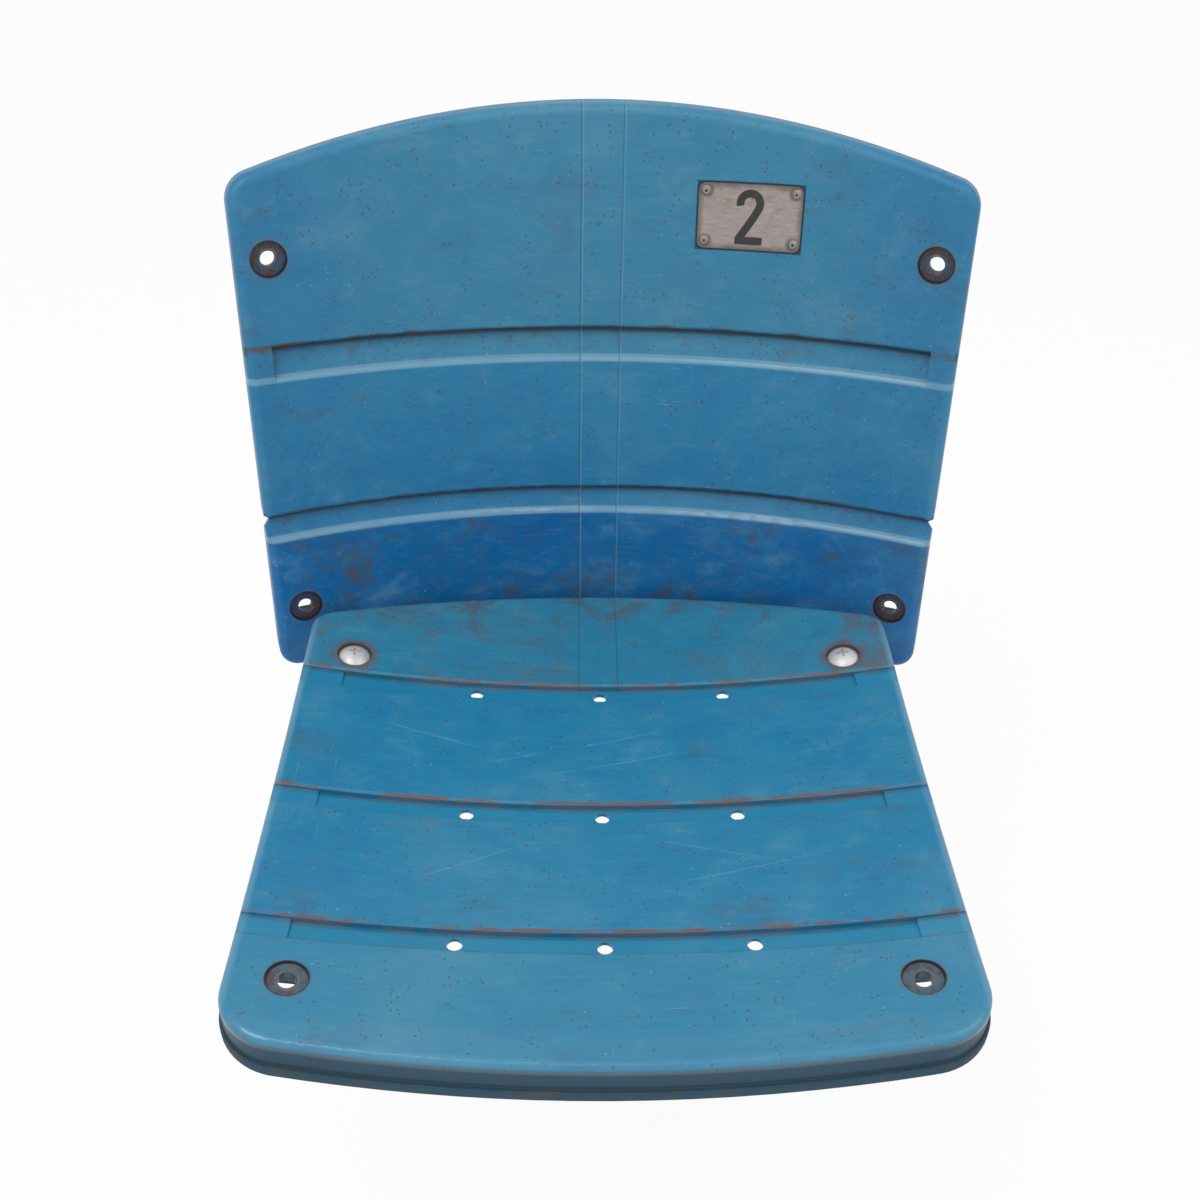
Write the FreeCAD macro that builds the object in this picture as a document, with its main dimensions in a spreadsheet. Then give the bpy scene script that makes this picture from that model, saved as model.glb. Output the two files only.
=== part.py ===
"""Tip-up stadium seat: two blow-moulded panels on hidden steel hinge hardware.

Frame: +X to the right as seen from the front, +Y to the rear, +Z up. The origin is midway
between the two lower bolt holes of the back, on the back's front face.

The back is a panel bent round an upright axis in front of it, then leaned back. The seat is a
panel bent round a fore-and-aft axis above it. Each panel is drawn in a frame that has this bend
as its own axis, so what belongs to a bolt is drawn on the middle plane, turned about the axis to
the bolt, and moved to its place with the panel. The right-hand pieces are drawn and the left-hand
ones are their mirror image.
"""
import FreeCAD, Part
import math
import os
import Sketcher

doc = FreeCAD.newDocument("stadium_seat")

SIZES = (
    # back panel
    ("back_wrap", 530.0, "plan radius of the back's front face"),
    ("back_thick", 24.0, "back, front face to rear face"),
    ("back_lean", 7.0, "degrees that the back leans from upright"),
    ("back_front_width", 481.0, "across the front edges of the sides"),
    ("back_rear_width", 496.0, "across the rear edges of the sides"),
    ("back_below", 51.0, "bottom edge below the lower bolt line"),
    ("back_above", 353.5, "crown of the top edge above the lower bolt line"),
    ("crown_radius", 740.0, "arched top edge"),
    ("back_top_corner", 20.0, "corner radius at the top"),
    ("back_low_corner", 15.0, "corner radius at the bottom"),
    ("back_front_edge", 6.0, "rounding of the front rim"),
    ("back_rear_edge", 3.5, "bevel of the rear rim"),
    ("back_bolt_across", 440.0, "between left and right bolt holes"),
    ("back_bolt_rise", 262.0, "between lower and upper bolt holes"),
    # grooves between the slats of the back, measured up from the lower bolt line
    ("low_groove_foot", 60.0, "foot of the lower groove"),
    ("low_groove_top", 77.5, "step of the lower groove"),
    ("top_groove_foot", 181.0, "foot of the upper groove"),
    ("top_groove_top", 202.0, "step of the upper groove"),
    ("back_groove_step", 9.0, "depth under the upper slat's edge"),
    ("back_groove_ridge", 3.0, "depth at the lower slat's ridge"),
    ("ridge_fall", 5.0, "height of the ridge's own rounding"),
    ("groove_lip", 2.5, "rounding of the upper slat's edge"),
    ("top_groove_span", 448.0, "width of the upper groove"),
    ("side_notch", 8.5, "depth of the lower groove's notch in the side edge"),
    ("notch_tip", 4.0, "tip of that notch below the groove's step"),
    ("notch_above", 8.0, "rise of its upper flank"),
    ("notch_below", 12.0, "fall of its lower flank"),
    # bolt seats
    ("bolt_hole", 10.5, "clear hole for a 3/8 inch bolt"),
    ("head_recess", 24.0, "round seat for a bolt head"),
    ("head_sink", 2.0, "depth of that seat"),
    ("lug_wall", 5.0, "pinched wall that a bolt clamps"),
    ("back_well", 20.0, "rear well of a bolt, down to the pinched wall"),
    ("channel_floor", 14.5, "rear channel's floor behind the front face"),
    ("wing_inboard", 17.0, "rear channel, inboard of the bolt line"),
    ("wing_outboard", 11.0, "rear channel, outboard of the bolt line"),
    ("wing_over", 24.0, "rear channel above the upper bolt"),
    # seat panel, measured from the rear bolts
    ("seat_bow", 1110.0, "radius of the dish from side to side"),
    ("seat_dip", 3000.0, "radius of the dish from front to rear"),
    ("seat_thick", 27.0, "seat, top face to underside"),
    ("seat_parting", 19.0, "parting line below the top"),
    ("seat_width", 428.0, "across the lower band"),
    ("seat_front", 336.5, "middle of the front face ahead of the rear bolts"),
    ("front_bow", 2500.0, "radius of the front edge in plan"),
    ("seat_gap", 15.2, "between the seat's rear edge and the back"),
    ("seat_lip", 2.0, "lower band stands out by this much"),
    ("seat_front_corner", 36.0, "corner radius at the front"),
    ("seat_rear_corner", 22.0, "corner radius at the rear"),
    ("seat_top_edge", 4.5, "rounding of the top rim"),
    ("seat_low_edge", 2.0, "bevel of the underside rim"),
    ("seat_lip_edge", 1.0, "bevel of the lower band's upper edge"),
    ("seat_bolt_across", 354.0, "between left and right bolts"),
    ("seat_bolt_run", 285.0, "between rear and front bolts"),
    ("seat_ahead", 52.5, "rear seat bolts ahead of the back's lower bolts"),
    ("seat_drop", 3.5, "seat's bolt faces below the back's lower bolts"),
    ("groove_rear", 17.0, "rear groove ahead of the rear bolts"),
    ("groove_middle", 133.5, "middle groove ahead of the rear bolts"),
    ("groove_fore", 240.0, "front groove ahead of the rear bolts"),
    ("groove_width", 15.5, "width of a seat groove"),
    ("groove_step", 5.0, "depth under the rear slat's edge"),
    ("groove_foot", 3.5, "depth at the front slat's edge"),
    ("groove_run_out", 3.0, "depth where a groove runs out to the side"),
    ("run_out_fall", 0.5, "less depth there at the front slat's edge"),
    ("slat_edge", 1.5, "bevel of the slats' edges"),
    ("groove_span", 364.0, "width of the deep part of a groove"),
    ("drain_hole", 9.5, "drain hole"),
    ("drain_back", 9.0, "drain holes ahead of the groove's rear edge"),
    ("drain_pitch", 88.0, "between the drain holes of a groove"),
    ("drain_web", 3.0, "wall pierced by a drain, below the groove"),
    ("trench_half", 122.0, "half width of the trench under a groove"),
    ("trench_ahead", 16.0, "trench ahead of the groove's rear edge"),
    ("trench_behind", 12.0, "trench behind the groove's rear edge"),
    ("trench_draft", 9.0, "slant of the trench's rear wall"),
    # seat arms
    ("arm_thick", 5.0, "steel of the arm"),
    ("arm_width", 34.0, "flange of the arm"),
    ("arm_sunk", 16.0, "top of the flange below the seat's top"),
    ("arm_beyond", 18.0, "fork of the arm ahead of the front bolt"),
    ("arm_behind", 14.0, "flange behind the rear bolt"),
    ("arm_play", 4.5, "trough wider than the arm, each side"),
    ("fork_slot", 13.0, "open slot of the fork"),
    ("fork_end", 12.0, "closed end of the slot behind the front bolt"),
    ("web_front", 236.0, "front end of the web ahead of the rear bolts"),
    ("web_front_drop", 11.0, "depth of the web at its front end"),
    ("web_weld", 1.5, "upright web let into the flange"),
    ("web_heel_in", 4.0, "upright web carried into the eye"),
    ("web_taper_end", 40.0, "where the web's taper ends, ahead of the rear bolts"),
    # hinge, measured from the pivot
    ("pivot_behind", 10.0, "pivot behind the rear bolts"),
    ("pivot_below", 24.0, "pivot below the seat's bolt faces"),
    ("cheek_inside", 153.5, "inboard face of the cheek from the middle"),
    ("cheek_thick", 6.0, "steel of the bracket"),
    ("eye_radius", 12.0, "eye round the pivot"),
    ("pivot_pin", 10.0, "pivot pin"),
    ("pin_fit", 0.05, "radial clearance of the pin in its bush"),
    ("pin_spigot", 8.0, "riveted end of the pin in the arm"),
    ("pin_burr", 11.0, "riveted head of the pin"),
    ("pin_burr_high", 1.0, "height of that head"),
    ("burr_relief", 14.0, "relief in the arm round that head"),
    ("burr_room", 2.2, "depth of that relief outboard of the web"),
    ("bush_wall", 1.5, "wall of the bush"),
    ("thrust_washer", 1.5, "thickness of a thrust washer"),
    ("thrust_wide", 19.0, "outer diameter of a thrust washer"),
    ("side_play", 0.15, "free play on each side of a thrust washer"),
    ("clip_thick", 1.2, "retaining ring"),
    ("clip_wide", 16.0, "outer diameter of the retaining ring"),
    ("clip_sink", 0.6, "retaining ring's groove in the pin"),
    ("clip_gap", 5.0, "opening of the retaining ring"),
    ("pin_tail", 2.0, "pin beyond the retaining ring"),
    ("stem_width", 22.0, "steel width of the bracket's hook"),
    ("hook_clear", 60.0, "inside of the hook below the pivot"),
    ("hook_corner", 10.0, "inside corner of the hook"),
    ("stop_ahead", 21.0, "stop pin ahead of the pivot"),
    ("stop_below", 21.0, "stop pin below the pivot"),
    ("stop_pin", 6.0, "stop pin"),
    ("stop_rubber", 12.0, "rubber sleeve on the stop pin"),
    ("stop_gap", 0.3, "between steel and rubber at rest"),
    ("sleeve_gap", 0.5, "between the bracket and the rubber sleeve"),
    ("stop_proud", 0.8, "stop pin and sleeve past the arm"),
    ("nose_radius", 9.0, "steel round the stop pin"),
    ("heel_reach", 36.0, "heel of the arm from the pivot"),
    ("heel_width", 11.0, "steel width of the heel"),
    ("tip_up", 78.0, "degrees that the seat tips up"),
    ("pocket_wall", 5.5, "seat's wall above the hinge"),
    ("pocket_play", 3.0, "hinge pocket clear of what turns in it"),
    # leaf of the bracket behind the back, measured from the lower bolt
    ("leaf_thick", 5.0, "steel of the leaf"),
    ("leaf_outboard", 9.0, "outer end of the leaf"),
    ("leaf_top", 6.0, "top edge of the leaf, below the bolt"),
    ("leaf_foot", 46.0, "foot of the leaf, below the bolt"),
    ("leaf_play", 2.0, "rear pocket wider than the leaf, each side"),
    ("riser_width", 20.0, "steel width of the riser behind the back"),
    ("riser_gap", 0.5, "between the riser and the pocket's floor"),
    ("fix_hole", 8.6, "clear hole for a bracket screw"),
    ("fix_drop", 27.0, "bracket screws below the lower bolt line"),
    ("fix_first", 29.0, "outer bracket screw inboard of the lower bolt"),
    ("fix_pitch", 21.0, "between the two bracket screws"),
    ("fix_recess", 17.0, "seat for a bracket screw's head"),
    ("fix_sink", 2.5, "that seat behind the bolt's own face"),
    # seat screws
    ("head_wide", 22.2, "truss head of the seat screw"),
    ("head_high", 5.4, "height of that head"),
    ("screw_wide", 9.5, "seat screw"),
    ("cross_span", 8.0, "cross recess, tip to tip"),
    ("cross_wide", 1.8, "slot of the cross recess"),
    ("cross_deep", 2.6, "depth of the cross recess"),
    ("screw_past_nut", 3.0, "screw beyond its nut"),
    ("sleeve_wide", 17.0, "spacer sleeve under the seat screw"),
    ("sleeve_bore", 10.0, "bore of the spacer sleeve, washer and nut"),
    ("lug_well", 20.0, "well for the spacer sleeve"),
    ("washer_wide", 21.0, "flat washer"),
    ("washer_thick", 2.0, "flat washer"),
    ("nut_flats", 14.3, "across the flats of the nut"),
    ("nut_high", 8.0, "nut"),
    # bracket screws
    ("fix_wide", 8.0, "bracket screw"),
    ("fix_head", 15.5, "truss head of the bracket screw"),
    ("fix_head_high", 3.6, "height of that head"),
    ("fix_washer", 16.0, "washer of the bracket screw"),
    ("fix_washer_thick", 1.6, "washer of the bracket screw"),
    ("fix_nut_flats", 13.0, "across the flats of the bracket nut"),
    ("fix_nut_high", 6.8, "bracket nut"),
    ("fix_past_nut", 2.0, "bracket screw beyond its nut"),
    # number plate
    ("plate_wide", 70.0, "plate, side to side"),
    ("plate_tall", 44.0, "plate, top to bottom"),
    ("plate_thick", 0.8, "plate"),
    ("plate_corner", 5.0, "corner radius of the plate"),
    ("plate_side", 99.0, "plate's centre from the middle"),
    ("plate_rise", 283.0, "plate's centre above the lower bolt line"),
    ("plate_bed", 0.7, "plate is let into the face by this much"),
    ("plate_rim", 1.2, "bed wider than the plate, each side"),
    ("rivet_in", 5.2, "rivets in from the plate's edges"),
    ("rivet_head", 6.6, "rivet head"),
    ("rivet_high", 1.3, "height of the rivet head"),
    ("rivet_crown", 4.2, "flat top of the rivet head"),
    ("rivet_shank", 3.2, "rivet shank"),
    ("rivet_deep", 8.0, "rivet shank behind the plate's face"),
    ("rivet_bore", 2.0, "hollow of the rivet"),
    ("rivet_bore_deep", 2.5, "depth of that hollow"),
    ("rivet_seat", 0.03, "between the rivet's head and the rolled plate"),
    ("rivet_fit", 0.05, "radial clearance of the rivet in its hole"),
    # small features of turned pieces
    ("end_bevel", 0.8, "bevel at the end of a screw or pin"),
    ("thread_bite", 0.02, "radial clearance of a nut on its screw"),
    # how far a blank or a cutter runs past what it makes
    ("margin", 10.0, "short run past a face"),
    ("past", 60.0, "long run past a panel"),
)

sheet = doc.addObject("Spreadsheet::Sheet", "sizes")
for row, (alias, number, note) in enumerate(SIZES, start=1):
    sheet.set("A%d" % row, alias)
    sheet.set("B%d" % row, str(number))
    sheet.set("C%d" % row, note)
    sheet.setAlias("B%d" % row, alias)
doc.recompute()


class Size:
    """A length or a ratio with the text that ties it to the sheet."""

    def __init__(self, value, text):
        self.value = float(value)
        self.text = text

    def __add__(self, other):
        other = as_size(other)
        return Size(self.value + other.value, "(%s + %s)" % (self.text, other.text))

    def __radd__(self, other):
        return as_size(other) + self

    def __sub__(self, other):
        other = as_size(other)
        return Size(self.value - other.value, "(%s - %s)" % (self.text, other.text))

    def __rsub__(self, other):
        return as_size(other) - self

    def __mul__(self, other):
        other = as_size(other)
        return Size(self.value * other.value, "(%s * %s)" % (self.text, other.text))

    def __rmul__(self, other):
        return as_size(other) * self

    def __truediv__(self, other):
        other = as_size(other)
        return Size(self.value / other.value, "(%s / %s)" % (self.text, other.text))

    def __neg__(self):
        return Size(-self.value, "(0 - %s)" % self.text)


def as_size(thing):
    if isinstance(thing, Size):
        return thing
    return Size(thing, "%.6g" % thing if thing >= 0 else "(0 - %.6g)" % -thing)


def root(size):
    return Size(math.sqrt(size.value), "sqrt(%s)" % size.text)


def arcsine(ratio):
    """Angle in degrees."""
    return Size(math.degrees(math.asin(ratio.value)), "(asin(%s) / 1 deg)" % ratio.text)


def arctangent(ratio):
    """Angle in degrees."""
    return Size(math.degrees(math.atan(ratio.value)), "(atan(%s) / 1 deg)" % ratio.text)


def sine(angle):
    return Size(math.sin(math.radians(angle.value)), "sin(%s * 1 deg)" % angle.text)


def cosine(angle):
    return Size(math.cos(math.radians(angle.value)), "cos(%s * 1 deg)" % angle.text)


class Sheet:
    """Reads a size by its alias, as s.back_wrap."""

    def __getattr__(self, alias):
        return Size(sheet.get(alias), "sizes.%s" % alias)


s = Sheet()
ZERO = as_size(0)

X_AXIS = FreeCAD.Vector(1, 0, 0)
Y_AXIS = FreeCAD.Vector(0, 1, 0)
Z_AXIS = FreeCAD.Vector(0, 0, 1)


def tie(thing, name, size):
    """Binds one property to the sheet."""
    size = as_size(size)
    if "sizes." in size.text:
        thing.setExpression(name, size.text)
    else:
        setattr(thing, name, size.value)


def place(thing, x=0, y=0, z=0, axis=None, angle=0):
    """Moves a thing to (x, y, z) and turns it about an axis of its own frame."""
    x, y, z, angle = as_size(x), as_size(y), as_size(z), as_size(angle)
    spin = FreeCAD.Rotation(axis or Z_AXIS, angle.value)
    thing.Placement = FreeCAD.Placement(FreeCAD.Vector(x.value, y.value, z.value), spin)
    for name, size in (("x", x), ("y", y), ("z", z)):
        if "sizes." in size.text:
            thing.setExpression("Placement.Base.%s" % name, size.text)
    if "sizes." in angle.text:
        thing.setExpression("Placement.Rotation.Angle", angle.text)
    return thing


def body(name):
    return doc.addObject("PartDesign::Body", name)


def origin_plane(owner, role):
    return [item for item in owner.Origin.OriginFeatures if item.Role == role][0]


class Outline:
    """A sketch whose every point and radius is bound to the sheet."""

    def __init__(self, owner, name, plane):
        self.sketch = owner.newObject("Sketcher::SketchObject", name)
        self.sketch.AttachmentSupport = [(origin_plane(owner, plane + "_Plane"), "")]
        self.sketch.MapMode = "FlatFace"
        self.ends = {}

    def bind(self, kind, size, *where):
        size = as_size(size)
        index = self.sketch.addConstraint(Sketcher.Constraint(kind, *where, size.value))
        if "sizes." in size.text:
            self.sketch.setExpression("Constraints[%d]" % index, size.text)

    def pin_down(self, edge, end, point):
        for kind, size, own_axis in (("DistanceX", point[0], -2), ("DistanceY", point[1], -1)):
            size = as_size(size)
            if size.text == "0":
                rule = Sketcher.Constraint("PointOnObject", edge, end, own_axis)
                self.sketch.addConstraint(rule)
            else:
                self.bind(kind, size, -1, 1, edge, end)

    def loop(self, *steps):
        """Closed loop: points, and before a point ("arc", radius, turn), turn 1 to the left."""
        points = []
        bends = []
        bend = None
        for step in steps:
            if step[0] == "arc":
                bend = step
            else:
                points.append((as_size(step[0]), as_size(step[1])))
                bends.append(bend)
                bend = None
        bends[0] = bend
        first = None
        count = len(points)
        for index in range(count):
            start = points[index]
            end = points[(index + 1) % count]
            bend = bends[(index + 1) % count]
            edge = self.side(start, end, bend)
            if first is None:
                first = edge
        for index in range(count):
            here = first + index
            after = first + (index + 1) % count
            ends = self.ends[here], self.ends[after]
            self.sketch.addConstraint(
                Sketcher.Constraint("Coincident", here, ends[0][1], after, ends[1][0]))
            self.pin_down(here, ends[0][0], points[index])
            if bends[(index + 1) % count]:
                self.bind("Radius", bends[(index + 1) % count][1], here)

    def side(self, start, end, bend):
        a = FreeCAD.Vector(start[0].value, start[1].value, 0)
        b = FreeCAD.Vector(end[0].value, end[1].value, 0)
        if bend is None:
            edge = self.sketch.addGeometry(Part.LineSegment(a, b))
            self.ends[edge] = (1, 2)
            return edge
        radius = as_size(bend[1]).value
        chord = b - a
        middle = (a + b) * 0.5
        rise = math.sqrt(max(radius * radius - chord.Length ** 2 / 4, 0.0))
        square = FreeCAD.Vector(-chord.y, chord.x, 0)
        square.normalize()
        centre = middle + square * rise * bend[2]
        from_a = math.atan2(a.y - centre.y, a.x - centre.x)
        from_b = math.atan2(b.y - centre.y, b.x - centre.x)
        ring = Part.Circle(centre, Z_AXIS, radius)
        if bend[2] > 0:
            edge = self.sketch.addGeometry(Part.ArcOfCircle(ring, from_a, from_b))
            self.ends[edge] = (1, 2)
        else:
            edge = self.sketch.addGeometry(Part.ArcOfCircle(ring, from_b, from_a))
            self.ends[edge] = (2, 1)
        return edge

    def circle(self, x, y, radius):
        centre = FreeCAD.Vector(as_size(x).value, as_size(y).value, 0)
        edge = self.sketch.addGeometry(Part.Circle(centre, Z_AXIS, as_size(radius).value))
        self.pin_down(edge, 3, (x, y))
        self.bind("Radius", radius, edge)


def revolve(owner, name, outline, axis, angle):
    feature = owner.newObject("PartDesign::Revolution", name)
    feature.Profile = outline.sketch
    feature.ReferenceAxis = (outline.sketch, [axis])
    feature.Midplane = True
    feature.Angle = as_size(angle).value
    tie(feature, "Angle", angle)
    doc.recompute()
    return feature


def groove(owner, name, outline, axis, angle):
    before = owner.Shape.Volume
    feature = owner.newObject("PartDesign::Groove", name)
    feature.Profile = outline.sketch
    feature.ReferenceAxis = (outline.sketch, [axis])
    feature.Midplane = True
    feature.Angle = as_size(angle).value
    tie(feature, "Angle", angle)
    doc.recompute()
    assert owner.Shape.Volume < before - 1, name
    return feature


def pad(owner, name, outline, length):
    feature = owner.newObject("PartDesign::Pad", name)
    feature.Profile = outline.sketch
    tie(feature, "Length", length)
    doc.recompute()
    return feature


def cut_through(owner, name, outline):
    """Pocket to both sides of its sketch, all the way."""
    before = owner.Shape.Volume
    feature = owner.newObject("PartDesign::Pocket", name)
    feature.Profile = outline.sketch
    feature.SideType = "Symmetric"
    feature.Type = "ThroughAll"
    doc.recompute()
    assert owner.Shape.Volume < before - 1, name
    return feature


def round_edges(owner, name, wanted, radius):
    base = owner.Tip
    names = []
    for index, edge in enumerate(base.Shape.Edges, start=1):
        if wanted(edge):
            names.append("Edge%d" % index)
    assert names, name
    feature = owner.newObject("PartDesign::Fillet", name)
    feature.Base = (base, names)
    tie(feature, "Radius", radius)
    doc.recompute()
    assert "Invalid" not in feature.State and "Error" not in feature.State, name
    return feature


def bevel_edges(owner, name, wanted, size):
    base = owner.Tip
    names = []
    for index, edge in enumerate(base.Shape.Edges, start=1):
        if wanted(edge):
            names.append("Edge%d" % index)
    assert names, name
    feature = owner.newObject("PartDesign::Chamfer", name)
    feature.Base = (base, names)
    tie(feature, "Size", size)
    doc.recompute()
    assert "Invalid" not in feature.State and "Error" not in feature.State, name
    return feature


def rim_of(shape, is_rim_face):
    """Tells whether an edge is on the outer wire of a chosen face."""
    edges = []
    for face in shape.Faces:
        if is_rim_face(face):
            edges += face.OuterWire.Edges
    return lambda edge: any(edge.isSame(other) for other in edges)


def box(name, x0, x1, y0, y1, z0, z1):
    thing = doc.addObject("Part::Box", name)
    tie(thing, "Length", as_size(x1) - x0)
    tie(thing, "Width", as_size(y1) - y0)
    tie(thing, "Height", as_size(z1) - z0)
    return place(thing, x0, y0, z0)


def rod(name, along, radius, start, length, u=0, v=0):
    """Cylinder along X, Y or Z from start, at (u, v) on the other two axes in their order."""
    thing = doc.addObject("Part::Cylinder", name)
    tie(thing, "Radius", radius)
    tie(thing, "Height", length)
    if along == "X":
        return place(thing, start, u, v, Y_AXIS, 90)
    if along == "Y":
        return place(thing, u, start, v, X_AXIS, -90)
    return place(thing, u, v, start)


def group(name, things):
    thing = doc.addObject("Part::Compound", name)
    thing.Links = things
    return thing


def fuse(name, things):
    thing = doc.addObject("Part::MultiFuse", name)
    thing.Shapes = things
    return thing


def cut(name, base, tool):
    thing = doc.addObject("Part::Cut", name)
    thing.Base = base
    thing.Tool = tool
    return thing


def mirrored(name, source):
    thing = doc.addObject("Part::Mirroring", name)
    thing.Source = source
    thing.Normal = X_AXIS
    return thing


nodes = []


def node(thing, label):
    thing.Label = label
    nodes.append(thing)
    return thing


# Places of the two panels. What is drawn in a panel's frame goes through one of these.
back_bolt_half = s.back_bolt_across / 2
back_axis = root(s.back_wrap * s.back_wrap - back_bolt_half * back_bolt_half)
back_turn = arcsine(back_bolt_half / s.back_wrap)
seat_bolt_half = s.seat_bolt_across / 2
seat_axis = root(s.seat_bow * s.seat_bow - seat_bolt_half * seat_bolt_half)
seat_turn = arcsine(seat_bolt_half / s.seat_bow)


def to_back(thing):
    lean = s.back_lean
    return place(thing, 0, -back_axis * cosine(lean), back_axis * sine(lean), X_AXIS, -lean)


def to_seat(thing):
    return place(thing, 0, -s.seat_ahead, seat_axis - s.seat_drop)


def at_back_bolt(thing):
    return place(thing, 0, 0, 0, Z_AXIS, -back_turn)


def at_seat_bolt(thing):
    return place(thing, 0, 0, 0, Y_AXIS, -seat_turn)


pivot_y = s.pivot_behind - s.seat_ahead
pivot_z = -s.seat_drop - s.pivot_below

# Back panel: curved slab, arched top, slanted sides, rounded corners and rims.
back = body("back_form")
slab = Outline(back, "back_section", "YZ")
slab.loop((s.back_wrap, -s.back_below), (s.back_wrap + s.back_thick, -s.back_below),
          (s.back_wrap + s.back_thick, s.back_above), (s.back_wrap, s.back_above))
back_sweep = 2 * arcsine((s.back_rear_width / 2 + s.margin) / s.back_wrap)
revolve(back, "back_slab", slab, "V_Axis", back_sweep)

arch = Outline(back, "back_arch", "XZ")
arch_half = s.back_rear_width / 2 + s.past
arch_low = s.back_above - s.crown_radius + root(
    s.crown_radius * s.crown_radius - arch_half * arch_half)
arch.loop((-arch_half, arch_low), (-arch_half, s.back_above + s.past),
          (arch_half, s.back_above + s.past), (arch_half, arch_low), ("arc", s.crown_radius, 1))
cut_through(back, "back_crown", arch)

front_half = s.back_front_width / 2
rear_half = s.back_rear_width / 2
back_outer = s.back_wrap + s.back_thick
side_front = root(s.back_wrap * s.back_wrap - front_half * front_half)
side_rear = root(back_outer * back_outer - rear_half * rear_half)
side_slope = (rear_half - front_half) / (side_rear - side_front)
sides = Outline(back, "back_sides", "XY")
for hand in (1, -1):
    sides.loop(((front_half - side_slope * s.past) * hand, side_front - s.past),
               ((rear_half + side_slope * s.past) * hand, side_rear + s.past),
               ((rear_half + 2 * s.past) * hand, side_rear + s.past),
               ((rear_half + 2 * s.past) * hand, side_front - s.past))
cut_through(back, "back_side_cut", sides)


def back_corner(is_top):
    """Edges that run from the front face to the rear face, at the top or at the bottom."""
    half_thick = s.back_thick.value / 2

    def wanted(edge):
        a, b = edge.Vertexes[0].Point, edge.Vertexes[-1].Point
        through = abs(math.hypot(a.x, a.y) - math.hypot(b.x, b.y)) > half_thick
        return through and (a.z > 0) == is_top
    return wanted


round_edges(back, "back_top_corners", back_corner(True), s.back_top_corner)
round_edges(back, "back_low_corners", back_corner(False), s.back_low_corner)


def barrel(radius):
    size = radius.value

    def is_face(face):
        surface = face.Surface
        return (isinstance(surface, Part.Cylinder) and abs(surface.Radius - size) < 0.01
                and abs(surface.Axis.z) > 0.99)
    return is_face


front_rim = rim_of(back.Tip.Shape, barrel(s.back_wrap))
round_edges(back, "back_front_rim", front_rim, s.back_front_edge)
rear_rim = rim_of(back.Tip.Shape, barrel(back_outer))
bevel_edges(back, "back_rear_rim", rear_rim, s.back_rear_edge)


def slat_groove(name, foot, top, angle):
    shape = Outline(back, name + "_section", "YZ")
    front = s.back_wrap - s.margin
    ridge = s.back_groove_ridge
    crest = (ridge * ridge + s.ridge_fall * s.ridge_fall) / (2 * ridge)
    shape.loop((front, top + s.groove_lip), (s.back_wrap, top + s.groove_lip),
               ("arc", s.groove_lip, 1), (s.back_wrap + s.groove_lip, top),
               (s.back_wrap + s.back_groove_step, top), (s.back_wrap + ridge, foot),
               ("arc", crest, 1), (s.back_wrap, foot - s.ridge_fall),
               (front, foot - s.ridge_fall))
    groove(back, name, shape, "V_Axis", angle)


slat_groove("top_groove", s.top_groove_foot, s.top_groove_top,
            2 * arcsine(s.top_groove_span / 2 / s.back_wrap))
slat_groove("low_groove", s.low_groove_foot, s.low_groove_top, back_sweep)

notch = Outline(back, "side_notches", "XZ")
for hand in (1, -1):
    notch.loop(((rear_half + s.side_notch) * hand, s.low_groove_top + s.notch_above),
               ((rear_half - s.side_notch) * hand, s.low_groove_top - s.notch_tip),
               ((rear_half + s.side_notch) * hand, s.low_groove_foot - s.notch_below))
cut_through(back, "side_notch_cut", notch)

# What the back's bolts, brackets and number plate take out of it.
floor_depth = s.head_sink + s.lug_wall
floor_y = s.back_wrap + floor_depth
cuts = []
for name, rise in (("low", ZERO), ("top", s.back_bolt_rise)):
    cuts.append(rod("back_hole_" + name, "Y", s.bolt_hole / 2, s.back_wrap - s.past,
                    s.back_thick + 2 * s.past, 0, rise))
    cuts.append(rod("back_sink_" + name, "Y", s.head_recess / 2, s.back_wrap - s.past,
                    s.head_sink + s.past, 0, rise))
    cuts.append(rod("back_well_" + name, "Y", s.back_well / 2, floor_y, s.past, 0, rise))
under = s.back_below + s.margin
channel_y = s.back_wrap + s.channel_floor
cuts.append(box("wing_channel", -s.wing_inboard, s.wing_outboard, channel_y, channel_y + s.past,
                -under, s.back_bolt_rise + s.wing_over))
tilt = back_turn
pocket_in = (back_bolt_half - s.cheek_inside + s.leaf_play
             + s.back_thick * sine(tilt)) / cosine(tilt)
cuts.append(box("leaf_pocket", -pocket_in, s.wing_outboard, floor_y, floor_y + s.past,
                -under, s.leaf_play - s.leaf_top))


def bracket_screws():
    for index, across in enumerate((s.fix_first, s.fix_first + s.fix_pitch)):
        yield index, -across, -s.fix_drop


for index, across, rise in bracket_screws():
    cuts.append(rod("fix_hole_%d" % index, "Y", s.fix_hole / 2, s.back_wrap - s.past,
                    s.back_thick + 2 * s.past, across, rise))
    cuts.append(rod("fix_sink_%d" % index, "Y", s.fix_recess / 2, s.back_wrap - s.past,
                    s.fix_sink + s.past, across, rise))
back_cuts_right = at_back_bolt(group("back_cuts_right", cuts))
back_cuts_left = mirrored("back_cuts_left", back_cuts_right)

# Number plate, rolled to the back's own bend.
plate_half = s.plate_wide / 2
plate_turn = arcsine(s.plate_side / s.back_wrap)


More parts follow.
